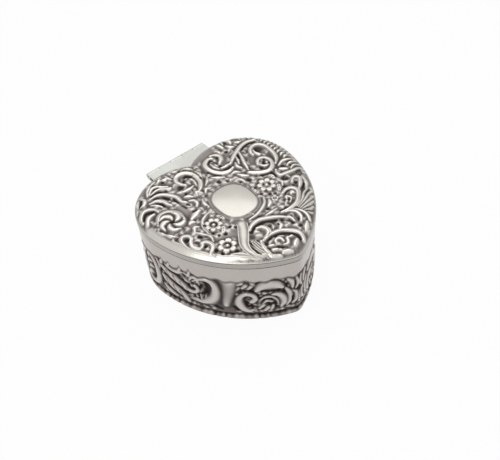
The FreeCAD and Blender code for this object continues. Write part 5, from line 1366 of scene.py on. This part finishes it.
# Stage, light and camera

FLOOR_HALF_M = 3.0
FLOOR_GREY = 0.9
# share of white where they are seen: the floor keeps a faint shadow
FLOOR_WHITE = 0.94
WORLD_WHITE = 1.0
WORLD_GREY = 0.62


def white_when_seen(tree, lit, white, share, output):
    """Mixes white into lit, by share, for rays from the camera, from a mirror and through glass."""
    nodes, link = tree.nodes, tree.links.new
    rays = nodes.new("ShaderNodeLightPath").outputs
    seen = rays["Is Camera Ray"]
    for kind in ("Is Glossy Ray", "Is Transmission Ray"):
        either = nodes.new("ShaderNodeMath")
        either.operation = "MAXIMUM"
        link(seen, either.inputs[0])
        link(rays[kind], either.inputs[1])
        seen = either.outputs[0]
    part = nodes.new("ShaderNodeMath")
    part.operation = "MULTIPLY"
    link(seen, part.inputs[0])
    part.inputs[1].default_value = share
    mix = nodes.new("ShaderNodeMixShader")
    for socket, source in zip(mix.inputs, (part, lit, white)):
        link(source.outputs[0], socket)
    link(mix.outputs["Shader"], nodes[output].inputs["Surface"])


def make_floor():
    a = FLOOR_HALF_M
    mesh = bpy.data.meshes.new("floor")
    mesh.from_pydata([(-a, -a, 0), (a, -a, 0), (a, a, 0), (-a, a, 0)], [], [(0, 1, 2, 3)])
    paper = bpy.data.materials.new("paper")
    paper.use_nodes = True
    tree = paper.node_tree
    lit = tree.nodes["Principled BSDF"]
    lit.inputs["Base Color"].default_value = (FLOOR_GREY, FLOOR_GREY, FLOOR_GREY, 1)
    lit.inputs["Roughness"].default_value = 0.9
    white = tree.nodes.new("ShaderNodeEmission")
    white.inputs["Strength"].default_value = 1.0
    white_when_seen(tree, lit, white, FLOOR_WHITE, "Material Output")
    mesh.materials.append(paper)
    floor = place("floor", mesh)


def make_world():
    world = bpy.data.worlds.new("studio")
    bpy.context.scene.world = world
    world.use_nodes = True
    tree = world.node_tree
    lit = tree.nodes["Background"]
    white = tree.nodes.new("ShaderNodeBackground")
    for node, grey in ((lit, WORLD_GREY), (white, 1.0)):
        node.inputs["Color"].default_value = (grey, grey, grey, 1)
        node.inputs["Strength"].default_value = 1.0
    white_when_seen(tree, lit, white, WORLD_WHITE, "World Output")


def facing(at_m, aim_m):
    """Turn of a lamp or camera that stands at one point and looks at another."""
    return (Vector(aim_m) - Vector(at_m)).to_track_quat("-Z", "Y")


def lamp(name, at_m, aim_m, size_m, watts):
    data = bpy.data.lights.new(name, "AREA")
    data.shape = "RECTANGLE"
    data.size, data.size_y = size_m
    data.energy = watts
    obj = place(name, data)
    obj.location = at_m
    obj.rotation_euler = facing(at_m, aim_m).to_euler()


# camera, fitted to the outline of the box
CAM_AT_M = (-0.16128, -0.22658, 0.31566)
CAM_AIM_M = (0.0, -0.00557, 0.02387)
CAM_ROLL = math.radians(-5.04)
CAM_LENS = 50.46
CAM_SENSOR = 36.0
CAM_SHIFT = (0.0184, 0.0093)
CAM_NEAR_M = 0.01


def make_camera():
    data = bpy.data.cameras.new("camera")
    data.sensor_fit = "HORIZONTAL"
    data.sensor_width = CAM_SENSOR
    data.lens = CAM_LENS
    data.shift_x, data.shift_y = CAM_SHIFT
    data.clip_start = CAM_NEAR_M
    camera = place("camera", data)
    look = facing(CAM_AT_M, CAM_AIM_M).to_matrix().to_4x4()
    camera.matrix_world = Matrix.Translation(CAM_AT_M) @ look @ Matrix.Rotation(CAM_ROLL, 4, "Z")
    bpy.context.scene.camera = camera


make_floor()
make_world()
lamp("overhead", at_m=(0.1, 0.14, 0.54), aim_m=(0, 0, 0.05), size_m=(0.5, 0.5), watts=0.8)
lamp("front_left", at_m=(-0.62, -0.3, 0.42), aim_m=(0, 0, 0.03), size_m=(0.5, 0.5), watts=1.3)
make_camera()
bpy.context.scene.view_settings.view_transform = "Standard"
